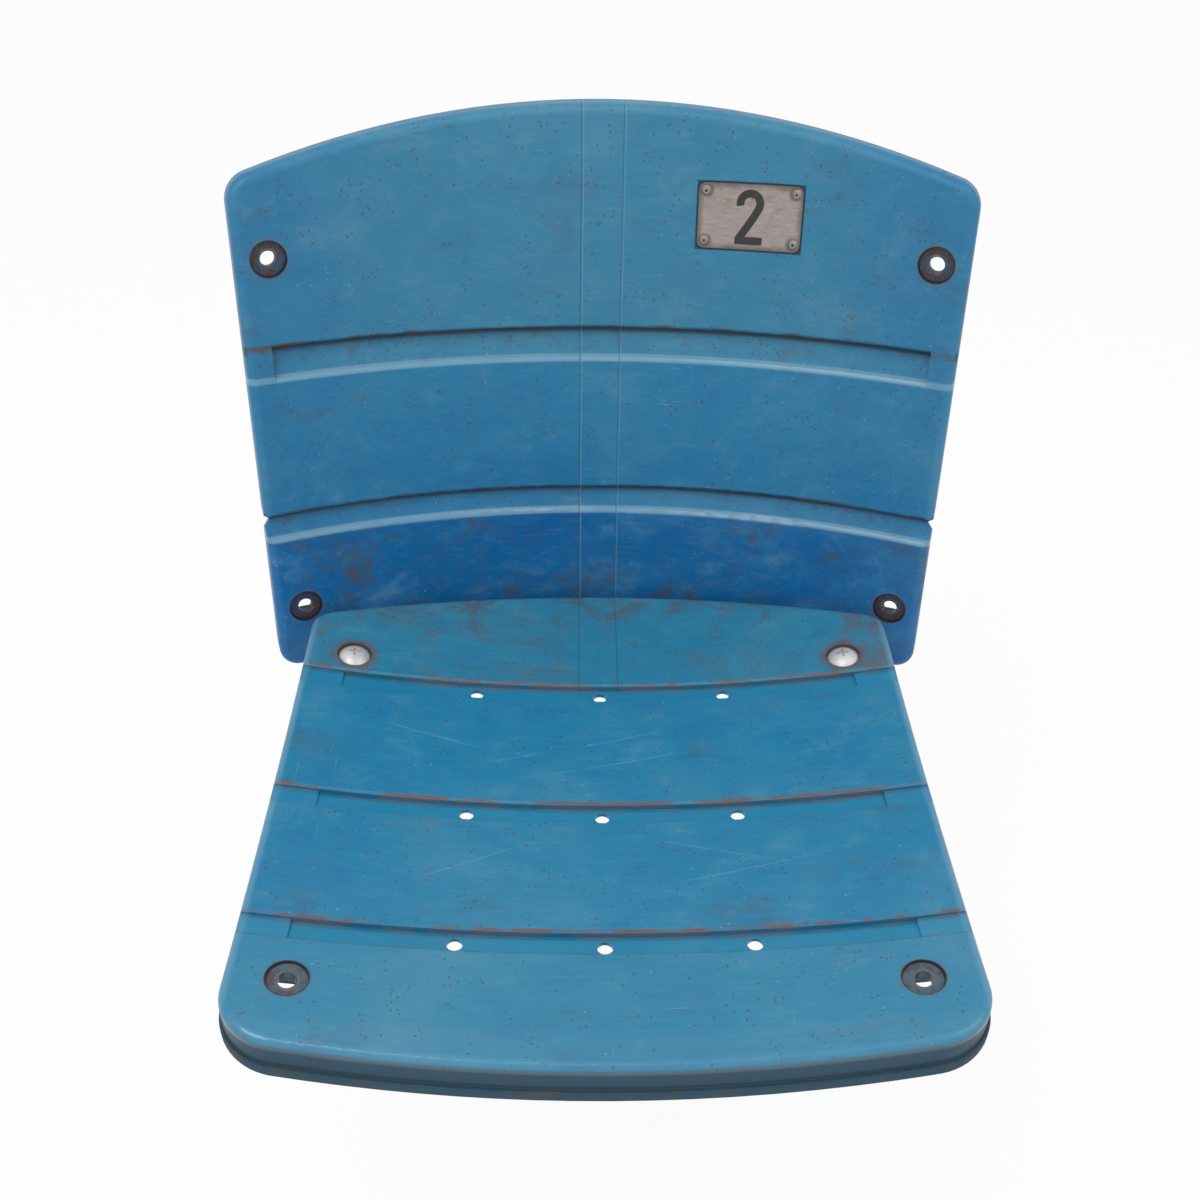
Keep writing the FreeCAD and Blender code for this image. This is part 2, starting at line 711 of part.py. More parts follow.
def rolled_sheet(name, depth, thick, wide, tall, corner):
    """Rounded rectangle bent round the back's axis, centred on the middle plane."""
    owner = body(name)
    shape = Outline(owner, name + "_section", "YZ")
    y0 = s.back_wrap + depth
    shape.loop((y0, s.plate_rise - tall / 2), (y0 + thick, s.plate_rise - tall / 2),
               (y0 + thick, s.plate_rise + tall / 2), (y0, s.plate_rise + tall / 2))
    revolve(owner, name + "_bend", shape, "V_Axis", 2 * arcsine(wide / 2 / s.back_wrap))

    def corner_edge(edge):
        a, b = edge.Vertexes[0].Point, edge.Vertexes[-1].Point
        return abs(a.z - b.z) < 0.001 and abs(edge.Length - as_size(thick).value) < 0.001
    round_edges(owner, name + "_corners", corner_edge, corner)
    return owner


bed = rolled_sheet("plate_bed_cut", -s.margin, s.margin + s.plate_bed, s.plate_wide + 2 * s.plate_rim,
                   s.plate_tall + 2 * s.plate_rim, s.plate_corner + s.plate_rim)
plate_form = rolled_sheet("plate_form", s.plate_bed - s.plate_thick, s.plate_thick,
                          s.plate_wide, s.plate_tall, s.plate_corner)
plate_face = s.back_wrap + s.plate_bed - s.plate_thick


def plate_rivets(name, make):
    """One thing at each corner of the plate, turned to it about the back's axis."""
    row = []
    for index, (side, rise) in enumerate(((1, 1), (1, -1), (-1, -1), (-1, 1))):
        across = s.plate_side + (plate_half - s.rivet_in) * side
        height = s.plate_rise + (s.plate_tall / 2 - s.rivet_in) * rise
        thing = make("%s_%d" % (name, index))
        row.append(place(thing, 0, 0, height, Z_AXIS, -arcsine(across / s.back_wrap)))
    return group(name, row)


def rivet_hole(name):
    hole = rod(name + "_bore", "Y", s.rivet_shank / 2 + s.rivet_fit, plate_face - s.margin,
               s.margin + s.rivet_deep + s.rivet_high)
    return group(name, [hole])


rivet_face = plate_face - s.rivet_seat


def rivet(name):
    owner = body(name + "_form")
    shape = Outline(owner, name + "_section", "YZ")
    crown = rivet_face - s.rivet_high
    hollow = s.rivet_bore / 2
    shape.loop((crown + s.rivet_bore_deep, 0), (rivet_face + s.rivet_deep, 0),
               (rivet_face + s.rivet_deep, s.rivet_shank / 2),
               (rivet_face, s.rivet_shank / 2), (rivet_face, s.rivet_head / 2),
               (crown, s.rivet_crown / 2), (crown, hollow),
               (crown + s.rivet_bore_deep, hollow))
    revolve(owner, name + "_turn", shape, "H_Axis", 360)
    return group(name, [owner])


rivet_holes = plate_rivets("rivet_holes", rivet_hole)
bed_turned = place(bed, 0, 0, 0, Z_AXIS, -plate_turn)
back_cuts = group("back_cuts", [back_cuts_right, back_cuts_left, bed_turned, rivet_holes])
node(to_back(cut("back_panel_solid", back, back_cuts)), "back_panel")

plate_blank = group("plate_blank", [place(plate_form, 0, 0, 0, Z_AXIS, -plate_turn)])
plate_holes = plate_rivets("plate_holes", rivet_hole)
node(to_back(cut("plate_solid", plate_blank, plate_holes)), "number_plate")
node(to_back(plate_rivets("rivet_set", rivet)), "plate_rivets")


# Seat panel: an upper shell and a slightly larger lower band that meet at the parting line.
def dip(y):
    """How far the middle line is below the line through the bolts at y."""
    half = s.seat_bolt_run / 2
    off = y + half
    bow = s.seat_dip * s.seat_dip
    return root(bow - off * off) - root(bow - half * half)


rear_radius = s.back_wrap - s.seat_gap
rear_centre = s.seat_ahead - back_axis
rear_most = rear_centre + rear_radius


seat_sweep = 2 * arcsine((s.seat_width / 2 + s.past) / s.seat_bow)


def seat_shell(name, top, bottom, inset):
    """Dished slab from one depth to another, its sides and front drawn in by inset."""
    owner = body(name)
    section = Outline(owner, name + "_section", "YZ")
    y_front = -s.seat_front - s.margin
    y_rear = rear_most + s.margin
    low = -s.seat_bow - bottom
    if top is None:
        crest_rear = -s.seat_bow - dip(y_rear)
        crest_front = -s.seat_bow - dip(y_front)
        section.loop((y_rear, low), (y_rear, crest_rear), ("arc", s.seat_dip, -1),
                     (y_front, crest_front), (y_front, low))
    else:
        high = -s.seat_bow - top
        section.loop((y_rear, low), (y_rear, high), (y_front, high), (y_front, low))
    revolve(owner, name + "_bend", section, "H_Axis", seat_sweep)
    half = s.seat_width / 2 - inset
    bow = s.front_bow - inset
    front_centre = s.front_bow - s.seat_front
    ahead = front_centre - root(bow * bow - half * half)
    corner_y = rear_centre + root(rear_radius * rear_radius - half * half)
    plan = Outline(owner, name + "_plan", "XY")
    wide = half + 2 * s.past
    plan.loop((-wide, y_front - s.past), (wide, y_front - s.past),
              (wide, y_rear + s.past), (-wide, y_rear + s.past))
    plan.loop((half, ahead), (half, corner_y), ("arc", rear_radius, 1),
              (-half, corner_y), (-half, ahead), ("arc", bow, 1))
    cut_through(owner, name + "_trim", plan)

    def upright(is_rear):
        def wanted(edge):
            a, b = edge.Vertexes[0].Point, edge.Vertexes[-1].Point
            plumb = abs(a.x - b.x) < 0.001 and abs(a.y - b.y) < 0.001
            return plumb and (a.y > 0) == is_rear
        return wanted
    round_edges(owner, name + "_rear_corners", upright(True), s.seat_rear_corner - inset)
    round_edges(owner, name + "_front_corners", upright(False), s.seat_front_corner - inset)
    return owner


def facing(direction):
    def is_face(face):
        u0, u1, v0, v1 = face.ParameterRange
        return face.normalAt((u0 + u1) / 2, (v0 + v1) / 2).z * direction > 0.8
    return is_face


upper = seat_shell("seat_upper", None, s.seat_parting, s.seat_lip)
round_edges(upper, "seat_top_rim", rim_of(upper.Tip.Shape, facing(1)), s.seat_top_edge)
lower = seat_shell("seat_lower", s.seat_parting, s.seat_thick, ZERO)
bevel_edges(lower, "seat_low_rim", rim_of(lower.Tip.Shape, facing(-1)), s.seat_low_edge)
bevel_edges(lower, "seat_lip_rim", rim_of(lower.Tip.Shape, facing(1)), s.seat_lip_edge)

GROOVES = (s.groove_rear, s.groove_middle, s.groove_fore)


def groove_ends(start):
    """Rear and front edge of a groove, each with the height of the dish there."""
    for y in (-start, -start - s.groove_width):
        yield y, -s.seat_bow - dip(y)


run_outs = Outline(upper, "run_out_section", "YZ")
deep_parts = Outline(upper, "groove_section", "YZ")
for start in GROOVES:
    (y_rear, rear_top), (y_front, front_top) = groove_ends(start)
    edge = s.slat_edge
    run_outs.loop((y_rear + edge, rear_top + s.margin), (y_rear + edge, rear_top),
                  (y_rear, rear_top - edge), (y_rear, rear_top - s.groove_run_out),
                  (y_front, front_top - s.groove_run_out + s.run_out_fall),
                  (y_front, front_top - edge), (y_front - edge, front_top),
                  (y_front - edge, front_top + s.margin))
    deep_parts.loop((y_rear, rear_top + s.margin), (y_rear, rear_top - s.groove_step),
                    (y_front, front_top - s.groove_foot), (y_front, front_top + s.margin))
groove(upper, "seat_run_outs", run_outs, "H_Axis", seat_sweep)
groove(upper, "seat_grooves", deep_parts, "H_Axis", 2 * arcsine(s.groove_span / 2 / s.seat_bow))

# Trenches on the underside, where the panel is pinched thin under each groove.
trenches = body("seat_trenches")
trench_section = Outline(trenches, "trench_section", "YZ")
for start in GROOVES:
    fall = (s.groove_step - s.groove_foot) * s.drain_back / s.groove_width
    floor = -s.seat_bow - dip(-start - s.drain_back) - s.groove_step + fall - s.drain_web
    low = -s.seat_bow - s.seat_thick - s.margin
    trench_section.loop((-start - s.trench_ahead, floor), (-start - s.trench_ahead, low),
                        (-start + s.trench_behind + 2 * s.trench_draft, low),
                        (-start + s.trench_behind, floor))
revolve(trenches, "trench_blocks", trench_section, "H_Axis",
        2 * arcsine(s.trench_half / s.seat_bow))
seat_solid = fuse("seat_shells", [upper, lower])

# Trough for an arm, drawn under the seat's middle and turned to the bolts.
arm_top = -s.seat_bow - s.arm_sunk
arm_front = -s.seat_bolt_run - s.arm_beyond
trough_half = s.arm_width / 2 + s.arm_play
arm_cuts = [box("arm_trough", -trough_half, trough_half, arm_front - s.arm_play,
                s.arm_behind + 2 * s.arm_play, arm_top - s.past, arm_top)]
for name, along in (("rear", ZERO), ("front", -s.seat_bolt_run)):
    arm_cuts.append(rod("seat_hole_" + name, "Z", s.bolt_hole / 2, -s.seat_bow - s.past,
                        2 * s.past, 0, along))
    arm_cuts.append(rod("seat_sink_" + name, "Z", s.head_recess / 2,
                        -s.seat_bow - s.head_sink, s.past, 0, along))
    arm_cuts.append(rod("seat_well_" + name, "Z", s.lug_well / 2, -s.seat_bow - s.past,
                        s.past - floor_depth, 0, along))
arm_cuts_turned = at_seat_bolt(group("arm_cuts", arm_cuts))

# Hinge pocket, square to the seat.
web_inside = s.cheek_inside + s.cheek_thick + s.thrust_washer + 2 * s.side_play
web_outside = web_inside + s.arm_thick
pin_end = (s.cheek_inside - 2 * s.side_play - s.thrust_washer - s.clip_thick
           - s.pin_tail)
inner_edge = pin_end - s.pocket_play
seat_pivot_z = -seat_axis - s.pivot_below
pocket_roof = -root(s.seat_bow * s.seat_bow - inner_edge * inner_edge) - s.pocket_wall
nose_front = s.pivot_behind - s.stop_ahead - s.pocket_play
pocket = box("hinge_pocket", inner_edge, web_outside + s.pin_burr_high + s.arm_play,
             nose_front, rear_most + s.margin, seat_pivot_z - s.past, pocket_roof)
seat_cuts_right = group("seat_cuts_right", [arm_cuts_turned, pocket])
seat_cuts_left = mirrored("seat_cuts_left", seat_cuts_right)
drains = []
for row, start in enumerate(GROOVES):
    for column in (-1, 0, 1):
        name = "drain_%d_%d" % (row, column + 1)
        drains.append(rod(name, "Z", s.drain_hole / 2, -s.seat_bow - s.past, 2 * s.past,
                          s.drain_pitch * column, -start - s.drain_back))
seat_cuts = group("seat_cuts", [seat_cuts_right, seat_cuts_left, trenches] + drains)
node(to_seat(cut("seat_panel_solid", seat_solid, seat_cuts)), "seat_panel")


def pair(label, right, put):
    """Two of a piece in one node, right and left."""
    both = put(group(label + "_pair", [right, mirrored(label + "_other", right)]))
    return node(both, label)


def both_sides(label, right):
    """A piece in its place and its mirror image, each a node."""
    node(right, label + "_right")
    return node(mirrored(label + "_mirror", right), label + "_left")


# Seat screws with a cross recess, spacer sleeves, washers and nuts, drawn on the middle plane.
def truss_screw(name, head_wide, head_high, wide, length):
    """Head's underside at the frame's origin, shank along -Z."""
    owner = body(name)
    shape = Outline(owner, name + "_section", "XZ")
    half = head_wide / 2
    dome = (half * half + head_high * head_high) / (2 * head_high)
    shape.loop((0, -length), (wide / 2 - s.end_bevel, -length),
               (wide / 2, -length + s.end_bevel), (wide / 2, 0), (half, 0),
               ("arc", dome, 1), (0, head_high))
    revolve(owner, name + "_turn", shape, "V_Axis", 360)
    cross = []
    for index, (x, y) in enumerate(((s.cross_span, s.cross_wide), (s.cross_wide, s.cross_span))):
        cross.append(box("%s_cross_%d" % (name, index), -x / 2, x / 2, -y / 2, y / 2,
                         head_high - s.cross_deep, head_high + s.margin))
    return cut(name + "_recessed", owner, fuse(name + "_cross", cross))


def ring(name, outer, inner, start, thick, u=0, v=0, along="Z"):
    solid = rod(name + "_disc", along, outer / 2, start, thick, u, v)
    hole = rod(name + "_hole", along, as_size(inner) / 2, start - s.margin,
               thick + 2 * s.margin, u, v)
    return cut(name, solid, hole)


def hex_nut(name, flats, bore, high):
    """Nut from the frame's origin up."""
    block = doc.addObject("Part::Prism", name + "_hex")
    block.Polygon = 6
    tie(block, "Circumradius", flats / math.sqrt(3))
    tie(block, "Height", high)
    hole = rod(name + "_bore", "Z", bore / 2, -s.margin, high + 2 * s.margin)
    return cut(name, block, hole)


seat_face = -s.seat_bow
arm_under = arm_top - s.arm_thick
screw_length = (s.arm_sunk + s.arm_thick - s.head_sink + s.washer_thick + s.nut_high
                + s.screw_past_nut)
screw = place(truss_screw("seat_screw", s.head_wide, s.head_high, s.screw_wide, screw_length),
              0, 0, seat_face - s.head_sink)
pair("seat_screws", at_seat_bolt(group("seat_screw_set", [screw])), to_seat)
sleeve = ring("sleeve", s.sleeve_wide, s.sleeve_bore, arm_top, s.arm_sunk - floor_depth)
pair("spacer_sleeves", at_seat_bolt(group("sleeve_set", [sleeve])), to_seat)
washer = ring("washer", s.washer_wide, s.sleeve_bore, arm_under - s.washer_thick,
              s.washer_thick)
pair("seat_washers", at_seat_bolt(group("washer_set", [washer])), to_seat)
nut = place(hex_nut("nut", s.nut_flats, s.screw_wide + 2 * s.thread_bite, s.nut_high),
            0, 0, arm_under - s.washer_thick - s.nut_high)
pair("seat_nuts", at_seat_bolt(group("nut_set", [nut])), to_seat)

# Seat arm: a forked flange against the trough's roof and an upright web with the pivot's boss.
flange = box("arm_flange", -s.arm_width / 2, s.arm_width / 2, arm_front, s.arm_behind,
             arm_under, arm_top)
fork = box("arm_fork", -s.fork_slot / 2, s.fork_slot / 2, arm_front - s.margin,
           s.fork_end - s.seat_bolt_run, arm_under - s.margin, arm_top + s.margin)
arm_bolt = rod("arm_bolt_hole", "Z", s.sleeve_bore / 2, arm_under - s.margin,
               s.arm_thick + 2 * s.margin)
flange_cut = cut("arm_flange_cut", flange, group("arm_flange_tools", [fork, arm_bolt]))
flange_turned = at_seat_bolt(group("arm_flange_turned", [flange_cut]))

web = body("arm_web")
web_shape = Outline(web, "arm_web_outline", "YZ")
web_top = -seat_axis - s.arm_sunk - s.arm_thick + s.web_weld
web_bottom = seat_pivot_z - s.stop_below + s.stop_rubber / 2 + s.stop_gap
web_rear = s.pivot_behind - s.eye_radius + s.web_heel_in
web_shape.loop((-s.web_front, web_top), (-s.web_front, web_top - s.web_front_drop),
                (-s.web_taper_end, web_bottom), (web_rear, web_bottom), (web_rear, web_top))
pad(web, "arm_web_plate", web_shape, s.arm_thick)
place(web, web_inside, 0, 0)
boss = rod("arm_boss", "X", s.eye_radius, web_inside, s.arm_thick, s.pivot_behind,
           seat_pivot_z)
heel = box("arm_heel", 0, s.arm_thick, 0, s.heel_reach, s.stop_rubber / 2 + s.stop_gap,
           s.stop_rubber / 2 + s.stop_gap + s.heel_width)
stop_angle = 90 + arctangent(s.stop_ahead / s.stop_below)
heel_turned = place(group("arm_heel_turned", [heel]), web_inside, s.pivot_behind,
                    seat_pivot_z, X_AXIS, s.tip_up - stop_angle)
pin_hole = rod("arm_pin_hole", "X", s.pin_spigot / 2, web_inside - s.margin,
               s.arm_thick + 2 * s.margin, s.pivot_behind, seat_pivot_z)
relief = rod("arm_relief", "X", s.burr_relief / 2, web_outside, s.burr_room,
             s.pivot_behind, seat_pivot_z)
arm = cut("arm_solid", fuse("arm_steel", [flange_turned, web, boss, heel_turned]),
          group("arm_pin_tools", [pin_hole, relief]))
both_sides("seat_arm", to_seat(arm))

# Pivot pin: riveted in the arm, turning in the bracket's bush, with a washer and ring inboard.
pin = body("pin_form")
pin_shape = Outline(pin, "pin_section", "XZ")
shoulder = s.pivot_pin / 2
clip_from = pin_end + s.pin_tail
clip_to = clip_from + s.clip_thick
clip_floor = shoulder - s.clip_sink
pin_shape.loop((pin_end, 0), (pin_end, shoulder - s.end_bevel),
               (pin_end + s.end_bevel, shoulder), (clip_from, shoulder), (clip_from, clip_floor), (clip_to, clip_floor),
               (clip_to, shoulder), (web_inside, shoulder), (web_inside, s.pin_spigot / 2),
               (web_outside, s.pin_spigot / 2), (web_outside, s.pin_burr / 2),
               (web_outside + s.pin_burr_high, s.pin_burr / 2),
               (web_outside + s.pin_burr_high, 0))
revolve(pin, "pin_turn", pin_shape, "H_Axis", 360)
both_sides("pivot_pin", place(group("pin_set", [pin]), 0, pivot_y, pivot_z))
washer_bore = s.pivot_pin + 4 * s.pin_fit
inner_washer = ring("inner_thrust", s.thrust_wide, washer_bore,
                    s.cheek_inside - s.side_play - s.thrust_washer, s.thrust_washer,
                    0, 0, "X")
outer_washer = ring("outer_thrust", s.thrust_wide, washer_bore,
                    s.cheek_inside + s.cheek_thick + s.side_play, s.thrust_washer,
                    0, 0, "X")
washers = place(group("thrust_right", [inner_washer, outer_washer]), 0, pivot_y, pivot_z)
node(group("thrust_all", [washers, mirrored("thrust_left", washers)]), "pivot_washers")
clip_ring = ring("clip_ring", s.clip_wide, 2 * clip_floor, clip_from, s.clip_thick, 0, 0, "X")
clip_slot = box("clip_slot", clip_from - s.margin, clip_to + s.margin, 0, s.clip_wide,
                -s.clip_gap / 2, s.clip_gap / 2)
clip = place(cut("clip_open", clip_ring, clip_slot), 0, pivot_y, pivot_z)
node(group("clip_all", [clip, mirrored("clip_left", clip)]), "pivot_clips")
bush = ring("bush", s.pivot_pin + 2 * s.pin_fit + 2 * s.bush_wall,
            s.pivot_pin + 2 * s.pin_fit, s.cheek_inside, s.cheek_thick, 0, 0, "X")
both_sides("pivot_bush", place(group("bush_set", [bush]), 0, pivot_y, pivot_z))

# Hinge bracket: leaf in the back's rear pocket, riser, hook under the back's edge, and eye.
leaf_inboard = (back_bolt_half - s.cheek_inside - s.cheek_thick / 2
                + floor_depth * sine(tilt)) / cosine(tilt)
leaf = box("leaf", -leaf_inboard, s.leaf_outboard, floor_y, floor_y + s.leaf_thick,
           -s.leaf_foot, -s.leaf_top)
leaf_turned = at_back_bolt(group("leaf_turned", [leaf]))
riser_front = (floor_depth + (back_bolt_half - s.cheek_inside) * sine(tilt)) / cosine(tilt)
riser_front = riser_front + s.riser_gap
riser_foot = s.hook_clear + s.stem_width / 2 - pivot_z
riser = box("riser", s.cheek_inside, s.cheek_inside + s.cheek_thick, back_axis + riser_front,
            back_axis + riser_front + s.riser_width, -riser_foot, -s.leaf_top)
rear_steel = to_back(fuse("rear_steel", [leaf_turned, riser]))
cheek = body("cheek_form")
hook = Outline(cheek, "hook_outline", "YZ")
stem = s.stem_width / 2
hook_low = -s.hook_clear - s.stem_width
hook_end = ((riser_front + s.riser_width) * cosine(s.back_lean)
            - riser_foot * sine(s.back_lean) - pivot_y)
inner = s.hook_corner
outer = s.hook_corner + s.stem_width
hook.loop((-stem, 0), (-stem, hook_low + outer), ("arc", outer, 1), (outer - stem, hook_low),
          (hook_end, hook_low), (hook_end, -s.hook_clear), (stem + inner, -s.hook_clear),
          ("arc", inner, -1), (stem, inner - s.hook_clear), (stem, 0))
pad(cheek, "hook_plate", hook, s.cheek_thick)
cheek_placed = place(cheek, s.cheek_inside, pivot_y, pivot_z)
eye = rod("eye", "X", s.eye_radius, s.cheek_inside, s.cheek_thick, pivot_y, pivot_z)
stop_y = pivot_y - s.stop_ahead
stop_z = pivot_z - s.stop_below
nose = box("nose", 0, s.cheek_thick, 0,
           root(s.stop_ahead * s.stop_ahead + s.stop_below * s.stop_below),
           -s.nose_radius, s.nose_radius)
nose_turned = place(group("nose_turned", [nose]), s.cheek_inside, pivot_y, pivot_z, X_AXIS,
                    -stop_angle)
nose_tip = rod("nose_tip", "X", s.nose_radius, s.cheek_inside, s.cheek_thick, stop_y, stop_z)
bracket_steel = fuse("bracket_steel", [rear_steel, cheek_placed, eye, nose_turned, nose_tip])
bush_hole = rod("bush_hole", "X", s.pivot_pin / 2 + s.pin_fit + s.bush_wall,
                s.cheek_inside - s.margin, s.cheek_thick + 2 * s.margin, pivot_y, pivot_z)
stop_hole = rod("stop_hole", "X", s.stop_pin / 2, s.cheek_inside - s.margin,
                s.cheek_thick + 2 * s.margin, stop_y, stop_z)
leaf_holes = []
for index, across, rise in bracket_screws():
    leaf_holes.append(rod("leaf_hole_%d" % index, "Y", s.fix_hole / 2, s.back_wrap,
                          s.back_thick + s.past, across, rise))
leaf_tools = to_back(group("leaf_tools", [at_back_bolt(group("leaf_holes", leaf_holes))]))
bracket = cut("bracket_solid", bracket_steel,
              group("bracket_tools", [bush_hole, stop_hole, leaf_tools]))
both_sides("hinge_bracket", bracket)

# Stop pins with rubber sleeves: the arm's web rests on one side, its heel meets the other.
stop_from = s.cheek_inside + s.cheek_thick + s.sleeve_gap
stop_to = web_outside + s.stop_proud
stop_rod = rod("stop_rod", "X", s.stop_pin / 2, s.cheek_inside, stop_to - s.cheek_inside,
               stop_y, stop_z)
node(group("stop_pins_all", [stop_rod, mirrored("stop_rod_left", stop_rod)]), "stop_pins")
rubber = ring("stop_sleeve", s.stop_rubber, s.stop_pin, stop_from, stop_to - stop_from,
              stop_y, stop_z, "X")
both_sides("stop_rubber", rubber)

# Bracket screws from the front through the back and the leaf, with washers and nuts behind.
fix_face = s.back_wrap + s.fix_sink
leaf_back = floor_y + s.leaf_thick
fix_length = (leaf_back + s.fix_washer_thick + s.fix_nut_high + s.fix_past_nut) - fix_face


def at_fix(name, make, start, angle):
    row = []
    for index, across, rise in bracket_screws():
        thing = make("%s_%d" % (name, index))
        row.append(place(group("%s_up_%d" % (name, index), [thing]), across, start, rise,
                         X_AXIS, angle))
    return at_back_bolt(group(name, row))


fix_screws = at_fix("fix_screws", lambda name: truss_screw(
    name, s.fix_head, s.fix_head_high, s.fix_wide, fix_length), fix_face, 90)
pair("bracket_screws", fix_screws, to_back)
fix_washers = at_fix("fix_washers", lambda name: ring(
    name, s.fix_washer, s.fix_hole, ZERO, s.fix_washer_thick), leaf_back, -90)
pair("bracket_washers", fix_washers, to_back)
fix_nuts = at_fix("fix_nuts", lambda name: hex_nut(
    name, s.fix_nut_flats, s.fix_wide + 2 * s.thread_bite, s.fix_nut_high),
    leaf_back + s.fix_washer_thick, -90)
pair("bracket_nuts", fix_nuts, to_back)

doc.recompute()
for item in doc.Objects:
    assert "Invalid" not in item.State and "Error" not in item.State, item.Name
os.makedirs("parts", exist_ok=True)
for item in nodes:
    shape = item.Shape
    assert not shape.isNull() and shape.isValid() and shape.Solids, item.Label
for item in nodes:
    item.Shape.exportStep("parts/%s.step" % item.Label)
    print(item.Label, len(item.Shape.Solids), round(item.Shape.Volume / 1000, 2), "cm3")
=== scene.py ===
"""Stadium seat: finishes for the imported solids, the numeral on its plate, and a plain studio.

Coordinates are the part's own, in metres: +X right, +Y to the rear, +Z up, origin midway between
the back's two lower bolt holes. Stains and wear are placed in each panel's own curved coordinates:
along the bend, up or rearward, and below the moulded face.
"""
import math

import bmesh
import bpy
from bpy.props import FloatProperty, FloatVectorProperty, PointerProperty
from mathutils import Matrix, Vector


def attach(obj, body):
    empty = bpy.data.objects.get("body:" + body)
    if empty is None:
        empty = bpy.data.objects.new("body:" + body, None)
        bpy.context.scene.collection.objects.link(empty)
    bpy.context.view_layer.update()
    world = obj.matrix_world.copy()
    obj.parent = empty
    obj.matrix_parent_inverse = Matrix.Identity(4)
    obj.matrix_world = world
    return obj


bl_info = {
    "name": "Stadium Seat Finishes",
    "version": (1, 0, 0),
    "blender": (4, 5, 0),
    "location": "3D View > Sidebar > Stadium Seat",
    "description": "Weathered finishes, plate numeral and studio for a tip-up stadium seat",
    "category": "Object",
}

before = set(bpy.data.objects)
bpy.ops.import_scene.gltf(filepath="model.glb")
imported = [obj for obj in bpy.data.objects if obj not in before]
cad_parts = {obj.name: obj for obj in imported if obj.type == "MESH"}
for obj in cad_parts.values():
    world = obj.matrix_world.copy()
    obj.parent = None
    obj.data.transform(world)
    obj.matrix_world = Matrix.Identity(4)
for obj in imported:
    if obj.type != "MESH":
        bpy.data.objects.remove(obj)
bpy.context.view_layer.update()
MM = 0.001

# a colour Mix node's sockets
MIX_A, MIX_B, MIX_RESULT = 6, 7, 2

# place across and strength of the lines left by the mould
MOULD_LINES = ((-15 * MM, 0.60), (13 * MM, 0.45))

# start and end of each long scratch on the seat, across and behind the rear screws, and half
# its width, in mm
SCRATCHES = (((-90, -100), (60, -60), 0.45), ((-60, -112), (90, -78), 0.35),
             ((-20, -150), (120, -190), 0.30), ((-130, -210), (-40, -165), 0.30),
             ((30, -205), (150, -180), 0.28), ((-160, -62), (-60, -90), 0.28))

FLOOR_RADIUS = 30.0
FLOOR_SEGMENTS = 96
SENSOR = 36.0


# Shader building

class Wire:
    """A number on its way through a shader. Arithmetic on it adds Math nodes."""

    def __init__(self, recipe, socket):
        self.recipe = recipe
        self.socket = socket

    def _math(self, operation, *values):
        return self.recipe.math(operation, *values)

    def __add__(self, other):
        return self._math("ADD", self, other)

    __radd__ = __add__

    def __sub__(self, other):
        return self._math("SUBTRACT", self, other)

    def __rsub__(self, other):
        return self._math("SUBTRACT", other, self)

    def __mul__(self, other):
        return self._math("MULTIPLY", self, other)

    __rmul__ = __mul__

    def __truediv__(self, other):
        return self._math("DIVIDE", self, other)

    def __rtruediv__(self, other):
        return self._math("DIVIDE", other, self)

    def __abs__(self):
        return self._math("ABSOLUTE", self)


